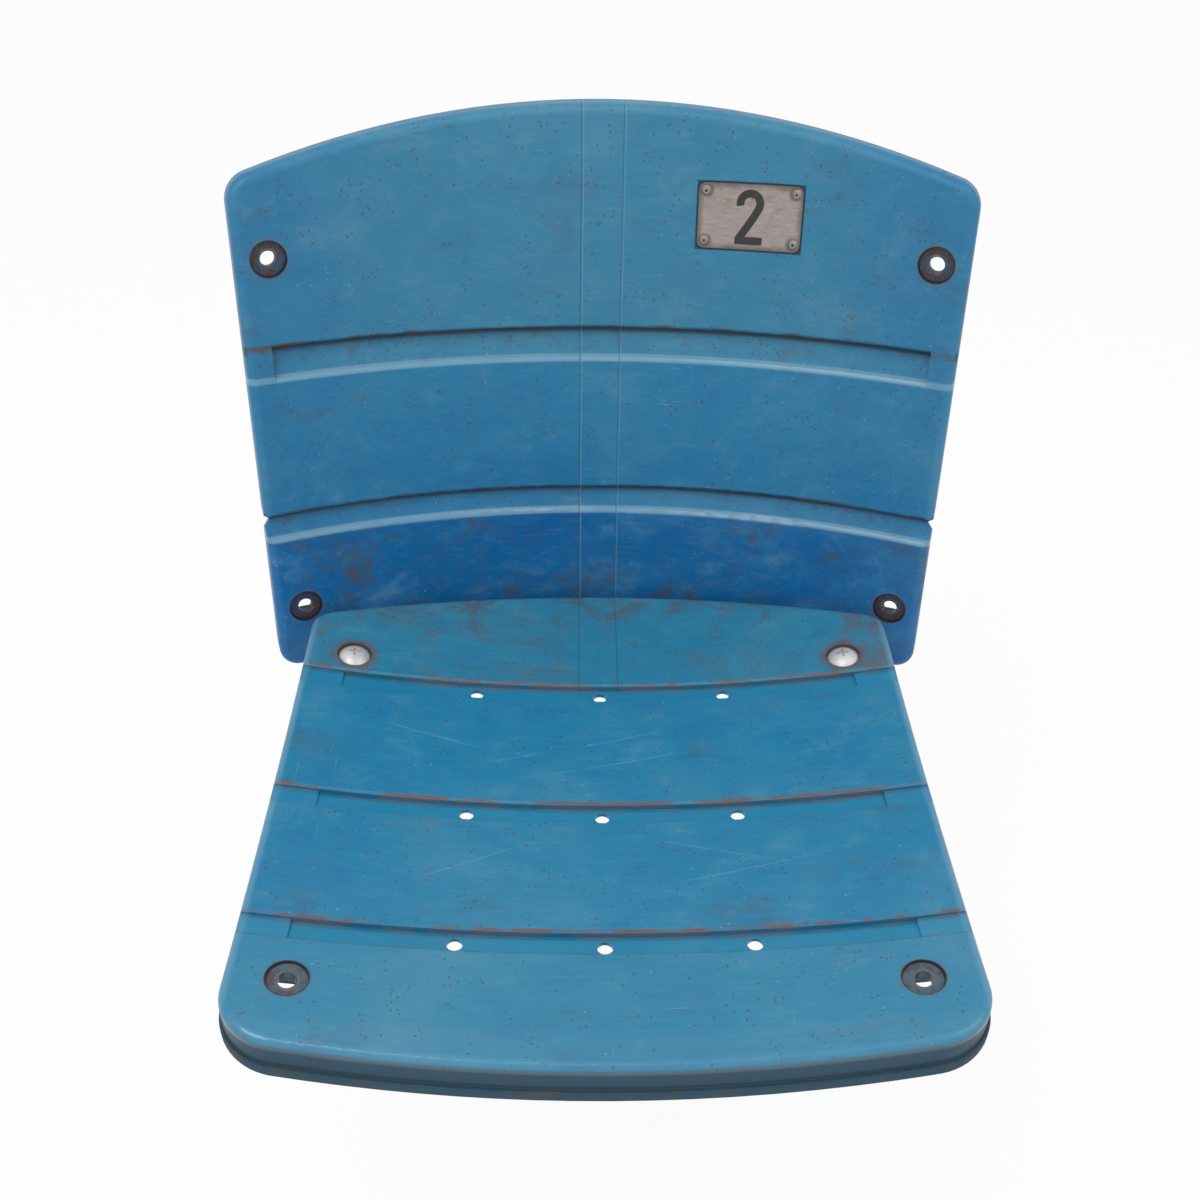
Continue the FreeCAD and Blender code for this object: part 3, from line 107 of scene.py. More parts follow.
class Recipe:
    """A material or world under construction: its place, noises, masks and layers."""

    def __init__(self, owner):
        self.owner = owner
        owner.use_nodes = True
        self.tree = owner.node_tree
        self.tree.nodes.clear()
        self.colour = None
        self.found_place = None

    @property
    def place(self):
        """Place on the object."""
        if self.found_place is None:
            self.found_place = self.add("ShaderNodeTexCoord").outputs["Object"]
        return self.found_place

    def add(self, kind, settings=None, **inputs):
        """Adds a node: its settings first, then each input by name, with _ for a space."""
        node = self.tree.nodes.new(kind)
        for key, value in (settings or {}).items():
            setattr(node, key, value)
        for key, value in inputs.items():
            self.feed(node.inputs[key.replace("_", " ")], value)
        return node

    def feed(self, socket, value):
        if isinstance(value, Wire):
            value = value.socket
        if isinstance(value, bpy.types.NodeSocket):
            self.tree.links.new(value, socket)
        elif socket.type == "RGBA":
            socket.default_value = (*value, 1.0) if len(value) == 3 else value
        else:
            socket.default_value = value

    def math(self, operation, *values):
        node = self.tree.nodes.new("ShaderNodeMath")
        node.operation = operation
        for socket, value in zip(node.inputs, values):
            self.feed(socket, value)
        return Wire(self, node.outputs[0])

    def axes(self):
        """The three parts of the place on the object."""
        node = self.add("ShaderNodeSeparateXYZ", Vector=self.place)
        return [Wire(self, socket) for socket in node.outputs]

    def far(self, one, two):
        """Length of the diagonal over two sides."""
        return self.math("SQRT", one * one + two * two)

    def ray(self, *kinds):
        """1 for rays of these kinds, otherwise 0."""
        path = self.add("ShaderNodeLightPath")
        return self.most(*[Wire(self, path.outputs["Is %s Ray" % kind]) for kind in kinds])

    def least(self, *values):
        found = values[0]
        for value in values[1:]:
            found = self.math("MINIMUM", found, value)
        return found

    def most(self, *values):
        found = values[0]
        for value in values[1:]:
            found = self.math("MAXIMUM", found, value)
        return found

    def rise(self, value, low, high):
        """Smooth step from 0 at low to 1 at high. With high below low it falls instead."""
        node = self.tree.nodes.new("ShaderNodeMapRange")
        node.interpolation_type = "SMOOTHSTEP"
        self.feed(node.inputs["Value"], value)
        flipped = high < low
        node.inputs["From Min"].default_value = min(low, high)
        node.inputs["From Max"].default_value = max(low, high)
        node.inputs["To Min"].default_value = 1.0 if flipped else 0.0
        node.inputs["To Max"].default_value = 0.0 if flipped else 1.0
        return Wire(self, node.outputs["Result"])

    def band(self, value, centre, half, soft):
        """1 within half of centre, fading over soft."""
        return self.rise(abs(value - centre), half + soft, half)

    def laid(self, seed, stretch=(1, 1, 1)):
        """The place, moved by a seed and drawn out along an axis."""
        return self.add("ShaderNodeMapping", Vector=self.place,
                        Location=(seed, seed * 0.7, seed * 1.3),
                        Scale=tuple(1.0 / part for part in stretch)).outputs[0]

    def noise(self, scale, detail=3.0, roughness=0.55, stretch=(1, 1, 1), seed=0.0, warp=0.0):
        """Noise from 0 to 1. Scale is in cells per metre, stretch divides it along an axis."""
        node = self.add("ShaderNodeTexNoise", Vector=self.laid(seed, stretch), Scale=scale,
                        Detail=detail, Roughness=roughness, Distortion=warp)
        return Wire(self, node.outputs["Fac"])

    def cells(self, scale, seed):
        """Distance from scattered points, in cells."""
        node = self.add("ShaderNodeTexVoronoi", Vector=self.laid(seed), Scale=scale)
        return Wire(self, node.outputs["Distance"])

    def start(self, colour):
        self.colour = colour

    def layer(self, colour, amount, blend="MIX"):
        """Lays a colour over what is there, by an amount from 0 to 1."""
        node = self.add("ShaderNodeMix", {"data_type": "RGBA", "blend_type": blend,
                                          "clamp_factor": True})
        self.feed(node.inputs["Factor"], amount)
        self.feed(node.inputs[MIX_A], self.colour)
        self.feed(node.inputs[MIX_B], colour)
        self.colour = node.outputs[MIX_RESULT]

    def finish(self, roughness, height=None, bump=0.3, depth=0.001, **constants):
        """Closes the shader. Constants go straight on the Principled shader's sockets."""
        shader = self.add("ShaderNodeBsdfPrincipled", Base_Color=self.colour,
                          Roughness=roughness, **constants)
        if height is not None:
            relief = self.add("ShaderNodeBump", Height=height, Strength=bump, Distance=depth)
            self.feed(shader.inputs["Normal"], relief.outputs[0])
        self.add("ShaderNodeOutputMaterial", Surface=shader.outputs[0])
        return self.owner


def new_recipe(name):
    return Recipe(bpy.data.materials.new(name))


def wear(material, *names):
    """Gives CAD nodes a finish."""
    for name in names:
        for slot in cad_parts[name].material_slots:
            slot.material = material


# Settings

def tint(name, description, value):
    return FloatVectorProperty(name=name, description=description, default=value, size=3,
                               min=0.0, max=1.0, subtype="COLOR")


def length(name, description, value):
    return FloatProperty(name=name, description=description, default=value, unit="LENGTH",
                         precision=4)


def position(name, description, value):
    return FloatVectorProperty(name=name, description=description, default=value, size=3,
                               unit="LENGTH", subtype="TRANSLATION")


def share(name, description, value):
    return FloatProperty(name=name, description=description, default=value, min=0.0, max=1.0,
                         subtype="FACTOR")


def angle(name, description, degrees):
    return FloatProperty(name=name, description=description, default=math.radians(degrees),
                         subtype="ANGLE")


class SeatForm(bpy.types.PropertyGroup):
    """Shape of the two panels, which their stains and wear follow."""

    back_wrap: length("Back bend", "Plan radius of the back's front face", 530 * MM)
    back_lean: angle("Back lean", "Lean of the back from upright", 7.0)
    back_bolt_across: length("Back bolts", "Between left and right bolt holes", 440 * MM)
    back_bolt_rise: length("Back bolt rise", "Between lower and upper bolt holes", 262 * MM)
    low_step: length("Lower groove", "Step of the back's lower groove above the bolts",
                     77.5 * MM)
    top_step: length("Upper groove", "Step of the back's upper groove above the bolts",
                     202 * MM)
    low_ridge: length("Lower ridge", "Ridge below the lower groove", 60 * MM)
    top_ridge: length("Upper ridge", "Ridge below the upper groove", 181 * MM)
    seat_bow: length("Seat bow", "Radius of the dish from side to side", 1110 * MM)
    seat_dip: length("Seat dip", "Radius of the dish from front to rear", 3000 * MM)
    seat_ahead: length("Seat ahead", "Rear seat screws ahead of the back's bolts", 52.5 * MM)
    seat_drop: length("Seat drop", "Seat screws below the back's bolts", 3.5 * MM)
    seat_bolt_across: length("Seat screws", "Between left and right seat screws", 354 * MM)
    seat_bolt_run: length("Seat bolt run", "Between rear and front seat bolts", 285 * MM)
    seat_groove_width: length("Seat groove", "Width of a seat groove", 15.5 * MM)
    plate_side: length("Plate side", "Number plate's centre from the middle, along the bend",
                       99.6 * MM)
    plate_rise: length("Plate rise", "Number plate's centre above the lower bolts", 283 * MM)
    plate_wide: length("Plate width", "Width of the number plate", 70 * MM)
    plate_tall: length("Plate height", "Height of the number plate", 44 * MM)
    rivet_across: length("Rivets across", "Between left and right rivets", 59.6 * MM)
    rivet_rise: length("Rivet rise", "Between lower and upper rivets", 33.6 * MM)
    recess: length("Bolt recess", "Radius of the round seat for a bolt head", 12 * MM)
    bolt_hole: length("Bolt hole", "Width of an open bolt hole", 10.5 * MM)
    face_depth: length("Face depth", "How deep the marks of a panel's face reach", 11 * MM)
    groove_rear: length("Rear groove", "Seat's rear groove ahead of the rear screws", 17 * MM)
    groove_middle: length("Middle groove", "Seat's middle groove ahead of the rear screws",
                          133.5 * MM)
    groove_front: length("Front groove", "Seat's front groove ahead of the rear screws",
                         240 * MM)


class PlasticLook(bpy.types.PropertyGroup):
    """Colours of the weathered blue plastic, with painted light and shade among them."""

    seat_blue: tint("Seat blue", "Seat slats", (0.012, 0.178, 0.325))
    seat_rear: tint("Seat rear blue", "Duller rear slat of the seat", (0.018, 0.184, 0.310))
    # The upper slat's lighter blue and the lower slat's darker blue are painted light and shade
    # from how light falls on the back's lean.
    top_slat_lit_blue: tint("Top slat", "Bleached upper slat of the back", (0.034, 0.186, 0.305))
    middle_blue: tint("Middle slat", "Middle slat of the back", (0.020, 0.176, 0.325))
    low_slat_shaded_blue: tint("Lower slat", "Shaded lower slat of the back", (0.001, 0.110, 0.300))
    # Deeper blue at the sides is partly painted shade where the back bends away and partly uneven
    # fading.
    side_blue: tint("Back sides", "Deeper blue beside the middle of the back",
                    (0.014, 0.145, 0.305))
    front_blue: tint("Front slat", "Front slat of the seat", (0.026, 0.196, 0.325))
    floor_blue: tint("Groove floor", "Floor of the seat's grooves", (0.016, 0.215, 0.375))
    face_shade_blue: tint("Front face", "Shaded front face of the seat", (0.001, 0.034, 0.066))
    # The ridge colour is a painted highlight for the back's rounded ridges, not bleaching.
    ridge: tint("Ridge", "Bleached ridges of the back", (0.175, 0.335, 0.430))
    scuff: tint("Scuff", "Pale rubbed plastic", (0.135, 0.305, 0.430))
    bleach: tint("Bleach", "Chalky bleached film", (0.105, 0.265, 0.345))
    grime: tint("Grime", "Brown dirt in corners", (0.075, 0.052, 0.038))
    rust: tint("Rust", "Rust stain", (0.150, 0.055, 0.022))
    lip: tint("Lip", "Greyed lower band of the seat", (0.014, 0.024, 0.030))


class MetalLook(bpy.types.PropertyGroup):
    """Colours of the metal and rubber pieces."""

    plate: tint("Plate", "Number plate", (0.350, 0.298, 0.278))
    plate_stain: tint("Plate stain", "Stain at the plate's edges", (0.105, 0.078, 0.066))
    numeral: tint("Numeral", "Paint of the numeral", (0.022, 0.022, 0.024))
    rivet: tint("Rivet", "Rivets of the plate", (0.330, 0.295, 0.280))
    bright: tint("Bright steel", "Plated seat screws", (0.620, 0.605, 0.590))
    zinc: tint("Zinc", "Galvanised nuts and washers", (0.430, 0.430, 0.420))
    black: tint("Black steel", "Painted hinge steel", (0.018, 0.018, 0.019))
    bronze: tint("Bronze", "Bushes of the pivots", (0.420, 0.270, 0.120))
    rubber: tint("Rubber", "Stop sleeves", (0.016, 0.016, 0.017))


class NumeralForm(bpy.types.PropertyGroup):
    """Numeral on the plate."""

    side: length("Side", "Numeral's centre from the middle of the back", 99.5 * MM)
    rise: length("Rise", "Numeral's centre above the lower bolts", 283 * MM)
    tall: length("Height", "Height of the numeral", 37 * MM)
    wide: length("Width", "Width of the numeral", 18.5 * MM)
    stroke: length("Stroke", "Width of its stroke", 5.2 * MM)
    proud: length("Relief", "Thickness of its paint and stamping", 0.25 * MM)
    face: length("Plate face", "Plate's face ahead of the back's face", 0.1 * MM)


class StudioLook(bpy.types.PropertyGroup):
    """Camera, lamps and floor."""

    eye: position("Eye", "Place of the camera", (-0.0200, -0.8140, 0.6124))
    pitch: angle("Pitch", "Camera looks down by this much", 36.64)
    yaw: angle("Yaw", "Camera turned to the right", 1.46)
    roll: angle("Roll", "Camera rolled", 1.10)
    lens: FloatProperty(name="Lens", description="Focal length on a 36 mm sensor",
                        default=40.5, unit="CAMERA")
    floor: length("Floor", "Height of the floor", -0.430)
    sky: share("Sky", "Strength of the surrounding light", 0.81)
    key: FloatProperty(name="Key", description="Power of the main lamp", default=30.0,
                       unit="POWER")
    fill: FloatProperty(name="Fill", description="Power of the second lamp", default=9.0,
                        unit="POWER")
    key_place: position("Key place", "Place of the main lamp", (-0.9, -1.3, 2.3))
    fill_place: position("Fill place", "Place of the second lamp", (1.4, -0.9, 1.7))
    aim: position("Aim", "Point that both lamps face", (0.0, -0.1, 0.05))
    key_size: length("Key size", "Width of the main lamp", 1.6)
    fill_size: length("Fill size", "Width of the second lamp", 1.8)
    paper: tint("Floor", "Colour of the floor", (0.86, 0.86, 0.86))
    glow: share("Floor glow", "How much the floor is lifted to white where it is seen", 0.88)


# The panels' own coordinates

class BackPlace:
    """Along the bend, up from the lower bolts, and behind the front face, in metres."""

    def __init__(self, recipe, form):
        x, y, z = recipe.axes()
        lean = form.back_lean
        half = form.back_bolt_across / 2
        axis = math.sqrt(form.back_wrap ** 2 - half ** 2)
        out = y * math.cos(lean) - z * math.sin(lean) + axis
        self.up = y * math.sin(lean) + z * math.cos(lean)
        self.depth = recipe.math("SQRT", x * x + out * out) - form.back_wrap
        self.across = recipe.math("ARCTAN2", x, out) * form.back_wrap
        self.bolt_across = math.asin(half / form.back_wrap) * form.back_wrap


class SeatPlace:
    """Across, rearward of the rear screws, and below the dished face, in metres."""

    def __init__(self, recipe, form):
        x, y, z = recipe.axes()
        half = form.seat_bolt_across / 2
        run = form.seat_bolt_run / 2
        axis = math.sqrt(form.seat_bow ** 2 - half ** 2) - form.seat_drop
        self.across = x
        self.behind = y + form.seat_ahead
        off = self.behind + run
        dip = (recipe.math("SQRT", form.seat_dip ** 2 - off * off)
               - math.sqrt(form.seat_dip ** 2 - run ** 2))
        rise = z - axis
        reach = recipe.math("SQRT", x * x + rise * rise)
        self.depth = reach - form.seat_bow - dip


def back_point(form, across, up, ahead):
    """World place of a point on the back, ahead of its front face."""
    turn = across / form.back_wrap
    reach = form.back_wrap - ahead
    half = form.back_bolt_across / 2
    axis = math.sqrt(form.back_wrap ** 2 - half ** 2)
    lean = form.back_lean
    out = reach * math.cos(turn)
    return Vector((reach * math.sin(turn),
                   out * math.cos(lean) + up * math.sin(lean) - axis * math.cos(lean),
                   -out * math.sin(lean) + up * math.cos(lean) + axis * math.sin(lean)))


# Finishes

def scratches(recipe, seed, stretch):
    """Thin marks of random length, nearly in line with one axis."""
    fine = recipe.noise(900, 2, 0.6, stretch, seed, 0.4)
    where = recipe.noise(14, 2, 0.5, (1, 1, 1), seed + 5)
    return recipe.rise(fine, 0.66, 0.74) * recipe.rise(where, 0.5, 0.68)


def specks(recipe, scale, size, seed, share_of_cells=0.5):
    """Small spots of about one size, on a share of the cells only."""
    spot = recipe.rise(recipe.cells(scale, seed), size, size * 0.5)
    here = recipe.rise(recipe.noise(scale * 0.31, 1, 0.5, (1, 1, 1), seed + 3),
                       1.0 - share_of_cells, 1.02 - share_of_cells)
    return spot * here


def weathered_plastic(recipe, look, seed):
    """What both panels share: chalky mottling, fine scratches and dirt specks."""
    broad = recipe.noise(7, 4, 0.6, (1, 1, 1), seed, 0.6)
    recipe.layer(look.bleach, recipe.rise(broad, 0.46, 0.80) * 0.30)
    recipe.layer((0.70, 0.84, 0.92), recipe.rise(broad, 0.54, 0.22) * 0.6, "MULTIPLY")
    cloud = recipe.noise(44, 6, 0.68, (1.6, 1, 1), seed + 2, 0.4)
    recipe.layer(look.bleach, recipe.rise(cloud, 0.50, 0.76) * 0.34)
    recipe.layer((0.62, 0.80, 0.90), recipe.rise(cloud, 0.50, 0.26) * 0.55, "MULTIPLY")
    streak = recipe.noise(420, 4, 0.65, (14, 1, 1), seed + 5)
    recipe.layer(look.bleach, recipe.rise(streak, 0.52, 0.72) * 0.16)
    recipe.layer((0.55, 0.76, 0.88), recipe.rise(streak, 0.48, 0.30) * 0.30, "MULTIPLY")
    film = recipe.noise(24, 6, 0.72, (1.5, 1, 1), seed + 9, 0.5)
    recipe.layer(look.grime, recipe.rise(film, 0.53, 0.74) * 0.30)
    marks = scratches(recipe, seed + 11, (30, 1, 1))
    cross = scratches(recipe, seed + 17, (1, 26, 1))
    recipe.layer(look.scuff, recipe.most(marks, cross) * 0.55)
    recipe.layer(look.grime, specks(recipe, 260, 0.26, seed + 21, 0.46) * 0.75)
    recipe.layer(look.scuff, specks(recipe, 200, 0.18, seed + 27, 0.36) * 0.6)
    return cloud, marks, cross


def plastic_close(recipe, cloud, marks, cross, dirt, polish):
    """Roughness and relief of weathered plastic, glossier where it is rubbed smooth."""
    grain = recipe.noise(1500, 2, 0.5)
    wave = recipe.noise(28, 2, 0.5)
    rough = 0.34 + cloud * 0.16 + dirt * 0.25 + marks * 0.12
    height = wave * 1.0 + grain * 0.10 - marks * 0.30 - cross * 0.30 + dirt * 0.15
    return recipe.finish(rough, height, 0.35, 0.0006, Specular_IOR_Level=0.30,
                         Coat_Weight=polish * (1.1 - cloud * 0.6), Coat_Roughness=0.16)


def bolt_stain(recipe, form, look, far, soil):
    """Rust stain in a bolt's recess, with a dark fill that is partly dirt and partly painted shade
    and a painted shadow line at the recess wall, from the distance to the bolt's axis.
    """
    ragged = far + (recipe.noise(160, 3, 0.6) - 0.5) * (3.0 * MM)
    recipe.layer(look.rust, recipe.rise(ragged, form.recess + 4 * MM, form.recess) * 0.25)
    inside = recipe.rise(far, form.recess + 0.5 * MM, form.recess - 0.4 * MM)
    patch = recipe.noise(190, 5, 0.7)
    # Dark fill in the recess: partly dirt, partly painted shade.
    recipe.layer((0.020, 0.017, 0.016), inside * (soil + recipe.rise(patch, 0.45, 0.6) * 0.4))
    recipe.layer(look.rust, inside * recipe.rise(patch, 0.50, 0.64) * soil)
    rim = recipe.band(far, form.recess - 0.1 * MM, 0.4 * MM, 0.5 * MM)
    # Painted shadow line at the recess wall.
    recipe.layer((0.012, 0.016, 0.020), rim * 0.8)
    mouth = recipe.band(far, form.bolt_hole / 2 + 1.05 * MM, 0.4 * MM, 0.5 * MM)
    recipe.layer((0.20, 0.19, 0.18), mouth * recipe.rise(patch, 0.46, 0.6) * 0.5)


def line_mark(recipe, across, along, start, end, half):
    """A straight scratch between two points of a face, fading at both ends."""
    run = Vector((end[0] - start[0], end[1] - start[1]))
    way = run.normalized()
    beside = (across - start[0]) * way.y - (along - start[1]) * way.x
    passed = (across - start[0]) * way.x + (along - start[1]) * way.y
    inside = (recipe.rise(passed, 0.0, run.length * 0.3)
              * recipe.rise(passed, run.length, run.length * 0.6))
    return recipe.band(beside, 0.0, half, half) * inside


def face_side(recipe, form, place):
    """1 on the panel's moulded face, 0 on its hidden side."""
    return recipe.rise(place.depth, form.face_depth + 3 * MM, form.face_depth)


def back_slats(recipe, form, look, place, front_side):
    """Blue of each slat, with painted light: lighter on the upper slat, darker on the lower slat
    and the foot of the middle one, and deeper toward the sides.
    """
    up, across = place.up, place.across
    # Painted shade: the lower slat starts darker than the slats above it.
    recipe.start(look.low_slat_shaded_blue)
    ragged = up + (recipe.noise(18, 3, 0.6, (1, 1, 1), 4.0) - 0.5) * (12 * MM)
    middle = recipe.most(recipe.rise(up, form.low_ridge - 4 * MM, form.low_ridge),
                         1.0 - front_side)
    recipe.layer(look.middle_blue, middle)
    # Painted shade spreading up from the lower slat into the foot of the middle slat.
    recipe.layer(look.low_slat_shaded_blue, middle * recipe.rise(ragged, form.low_step + 70 * MM,
                                                     form.low_step) * 0.25)
    # Painted light on the upper slat.
    top = recipe.rise(up, form.top_ridge - 5 * MM, form.top_ridge - 1 * MM) * front_side
    recipe.layer(look.top_slat_lit_blue, top)
    # Deeper blue toward the sides: partly painted shade where the back bends away, partly uneven
    # fading.
    sides = recipe.rise(abs(across) + (recipe.noise(9, 3) - 0.5) * (60 * MM),
                        120 * MM, 235 * MM)
    recipe.layer(look.side_blue, sides * middle * 0.6)


def lower_slat_wear(recipe, form, look, place, front_side):
    """Rubbed and soiled patches where backs and legs brush the lower slat."""
    low = recipe.rise(place.up, form.low_ridge, form.low_ridge - 8 * MM) * front_side
    rub = recipe.noise(34, 6, 0.74, (1.8, 1, 1), 31.0, 0.3)
    recipe.layer(look.scuff, low * recipe.rise(rub, 0.52, 0.74) * 0.30)
    soiled = recipe.noise(30, 6, 0.74, (1.3, 1, 1), 37.0, 0.3)
    recipe.layer((0.045, 0.075, 0.115), low * recipe.rise(soiled, 0.50, 0.66) * 0.60)
    recipe.layer(look.grime, low * recipe.rise(soiled, 0.60, 0.72) * 0.55)


def back_grooves(recipe, form, look, place, front_side, cloud):
    """Painted highlight on the ridges and painted shadow under each step, with grime at the steps.
    Returns the polish of the ridges.
    """
    up = place.up
    gaps = [up - ridge for ridge in (form.low_ridge, form.top_ridge)]
    # Painted highlight along each ridge.
    for gap in gaps:
        recipe.layer(look.ridge, recipe.band(gap, -1.6 * MM, 1.6 * MM, 1.4 * MM)
                     * front_side * (0.35 + cloud * 0.5))
    thin = recipe.noise(120, 4, 0.7, (3, 1, 1), 43.0)
    inside = recipe.rise(place.depth, 1.0 * MM, 4.0 * MM) * front_side
    for step in (form.low_step, form.top_step):
        near = recipe.band(up, step - 1.2 * MM, 2.0 * MM, 2.5 * MM) * front_side
        # Painted shadow under the step of the slat above; the grime layers after it are real dirt.
        recipe.layer((0.010, 0.040, 0.070), near * inside * 0.85)
        recipe.layer(look.grime, near * recipe.rise(thin, 0.42, 0.62) * 0.75)
        recipe.layer(look.grime, recipe.band(up, step + 1.6 * MM, 0.7 * MM, 1.0 * MM)
                     * recipe.rise(thin, 0.52, 0.66) * front_side * 0.5)
    rounds = [recipe.band(gap, -1.6 * MM, 2.5 * MM, 2.0 * MM) for gap in gaps]
    return 0.35 * front_side * (rounds[0] + rounds[1])


def back_mould_lines(recipe, look, place, front_side):
    """Dark lines from top to bottom, each with a pale edge."""
    wave = place.across + (recipe.noise(5, 2) - 0.5) * (1.2 * MM)
    for centre, strength in MOULD_LINES:
        line = recipe.band(wave, centre, 0.30 * MM, 0.45 * MM) * front_side
        recipe.layer((0.016, 0.070, 0.110), line * strength)
        beside = recipe.band(wave, centre + 0.9 * MM, 0.3 * MM, 0.6 * MM) * front_side
        recipe.layer(look.scuff, beside * strength * 0.6)


def back_bolts(recipe, form, look, place, front_side):
    """Stains and painted shade round the four bolt holes."""
    side = abs(place.across) - place.bolt_across
    holes = [recipe.far(side, place.up - rise) for rise in (0.0, form.back_bolt_rise)]
    hidden = (1.0 - front_side) * (9 * MM)
    bolt_stain(recipe, form, look, recipe.least(*holes) + hidden, 0.62)


def back_plastic(form, look):
    recipe = new_recipe("back_plastic")
    place = BackPlace(recipe, form)
    front_side = face_side(recipe, form, place)
    back_slats(recipe, form, look, place, front_side)
    cloud, marks, cross = weathered_plastic(recipe, look, 1.0)
    lower_slat_wear(recipe, form, look, place, front_side)
    polish = back_grooves(recipe, form, look, place, front_side, cloud)
    back_mould_lines(recipe, look, place, front_side)
    rim = recipe.rise(place.depth, 2.0 * MM, 7.0 * MM) * recipe.rise(place.depth, 20 * MM, 9 * MM)
    soil = recipe.rise(recipe.noise(45, 5, 0.7, (1, 1, 1), 51.0, 1.0), 0.52, 0.75)
    dirt = rim * soil
    recipe.layer(look.grime, dirt * 0.5)
    back_bolts(recipe, form, look, place, front_side)
    # Painted shade in the gap round the number plate.
    plate_gap_shade = recipe.band(plate_distance(recipe, form, place), 0.0, 0.7 * MM, 1.2 * MM)
    recipe.layer((0.012, 0.022, 0.030), plate_gap_shade * front_side * 0.85)
    return plastic_close(recipe, cloud, marks, cross, dirt, polish)


def seat_slats(recipe, form, look, place, top_side):
    """Blue of the slats, duller behind the rear groove. Returns where the rear slat is."""
    recipe.start(look.seat_blue)
    rear = recipe.rise(place.behind, -form.groove_rear - 3 * MM, -form.groove_rear) * top_side
    recipe.layer(look.seat_rear, rear)
    front = recipe.rise(place.behind, -form.groove_front, -form.groove_front - 6 * MM)
    recipe.layer(look.front_blue, front * top_side * 0.9)
    return rear


def rear_slat_dirt(recipe, look, place, rear):
    """Brown film toward the rear edge and corners. Returns its noise."""
    film = recipe.noise(20, 6, 0.7, (1, 1, 1), 71.0, 1.0)
    edge = recipe.rise(place.behind + (film - 0.5) * (50 * MM), 20 * MM, 80 * MM)
    recipe.layer(look.grime, rear * recipe.rise(film, 0.42, 0.66) * (0.26 + edge * 0.40))
    corner = recipe.rise(abs(place.across) + (film - 0.5) * (40 * MM), 165 * MM, 212 * MM)
    recipe.layer(look.rust, rear * corner * recipe.rise(film, 0.42, 0.64) * 0.50)
    return film


def seat_grooves(recipe, form, look, place, top_side):
    """Painted shade on the rear step of each groove with rust dirt along it, a clean floor and a
    brown line at the front.
    """
    behind = place.behind
    thin = recipe.noise(110, 4, 0.7, (3.5, 1, 1), 77.0)
    inside = recipe.rise(place.depth, 0.6 * MM, 2.2 * MM) * top_side
    half = form.seat_groove_width / 2
    for start in (form.groove_rear, form.groove_middle, form.groove_front):
        step = recipe.band(behind, -start - 0.6 * MM, 1.5 * MM, 1.6 * MM) * top_side
        # Painted shade on the step's face.
        recipe.layer((0.012, 0.050, 0.078), step * inside * 0.8)
        recipe.layer(look.rust, step * recipe.rise(thin, 0.40, 0.58) * 0.85)
        floor = recipe.band(behind, -start - half, half, 1.5 * MM) * inside
        recipe.layer(look.floor_blue, floor * 0.5)
        foot = recipe.band(behind, -start - 2 * half, 0.7 * MM, 0.9 * MM) * top_side
        recipe.layer(look.rust, foot * recipe.rise(thin, 0.38, 0.58) * 0.70)


def seat_edges(recipe, form, look, place, cloud):
    """Pale side rims, painted shade on the front face and along the parting line, and the dull
    band below it. Returns the band.
    """
    behind, depth = place.behind, place.depth
    rim = (recipe.rise(abs(place.across), 205 * MM, 209 * MM)
           * recipe.rise(depth, 12 * MM, 2 * MM))
    recipe.layer(look.scuff, rim * (0.2 + cloud * 0.4))
    soil = recipe.noise(60, 5, 0.7, (1.5, 1, 1), 83.0, 1.0)
    ahead = recipe.rise(behind, -form.seat_bolt_run - 8 * MM, -form.seat_bolt_run - 28 * MM)
    band = recipe.rise(depth, 17.5 * MM, 19.5 * MM) * ahead
    recipe.layer(look.lip, band * 0.8)
    recipe.layer(look.grime, band * recipe.rise(soil, 0.45, 0.7) * 0.6)
    # Painted shade on the front face below the rounded nose.
    face = recipe.rise(depth, 2.2 * MM, 6.5 * MM) * (1 - band) * ahead
    recipe.layer(look.face_shade_blue, face * 0.92)
    # Painted shade along the parting line.
    crease_shade = recipe.band(depth, 18.6 * MM, 0.6 * MM, 1.0 * MM) * ahead
    recipe.layer((0.012, 0.020, 0.026), crease_shade * 0.8)
    return band


def seat_bolts(recipe, form, look, place, top_side):
    """Rust round the rear screws, and stains with painted shade in the open front bolt holes."""
    side = abs(place.across) - form.seat_bolt_across / 2
    screw = recipe.far(side, place.behind)
    bleed = screw + (recipe.noise(90, 4, 0.7, (1, 1, 1), 91.0) - 0.5) * (14 * MM)
    recipe.layer(look.rust, recipe.rise(bleed, 20 * MM, 12 * MM) * top_side * 0.60)
    recipe.layer(look.grime, recipe.rise(screw, 13.2 * MM, 11.6 * MM) * 0.7)
    bolt = recipe.far(side, place.behind + form.seat_bolt_run)
    grey = recipe.rise(bolt, form.recess + 0.5 * MM, form.recess - 0.4 * MM) * top_side
    recipe.layer((0.085, 0.105, 0.120), grey * 0.55)
    bolt_stain(recipe, form, look, bolt + (1.0 - top_side) * (9 * MM), 0.22)


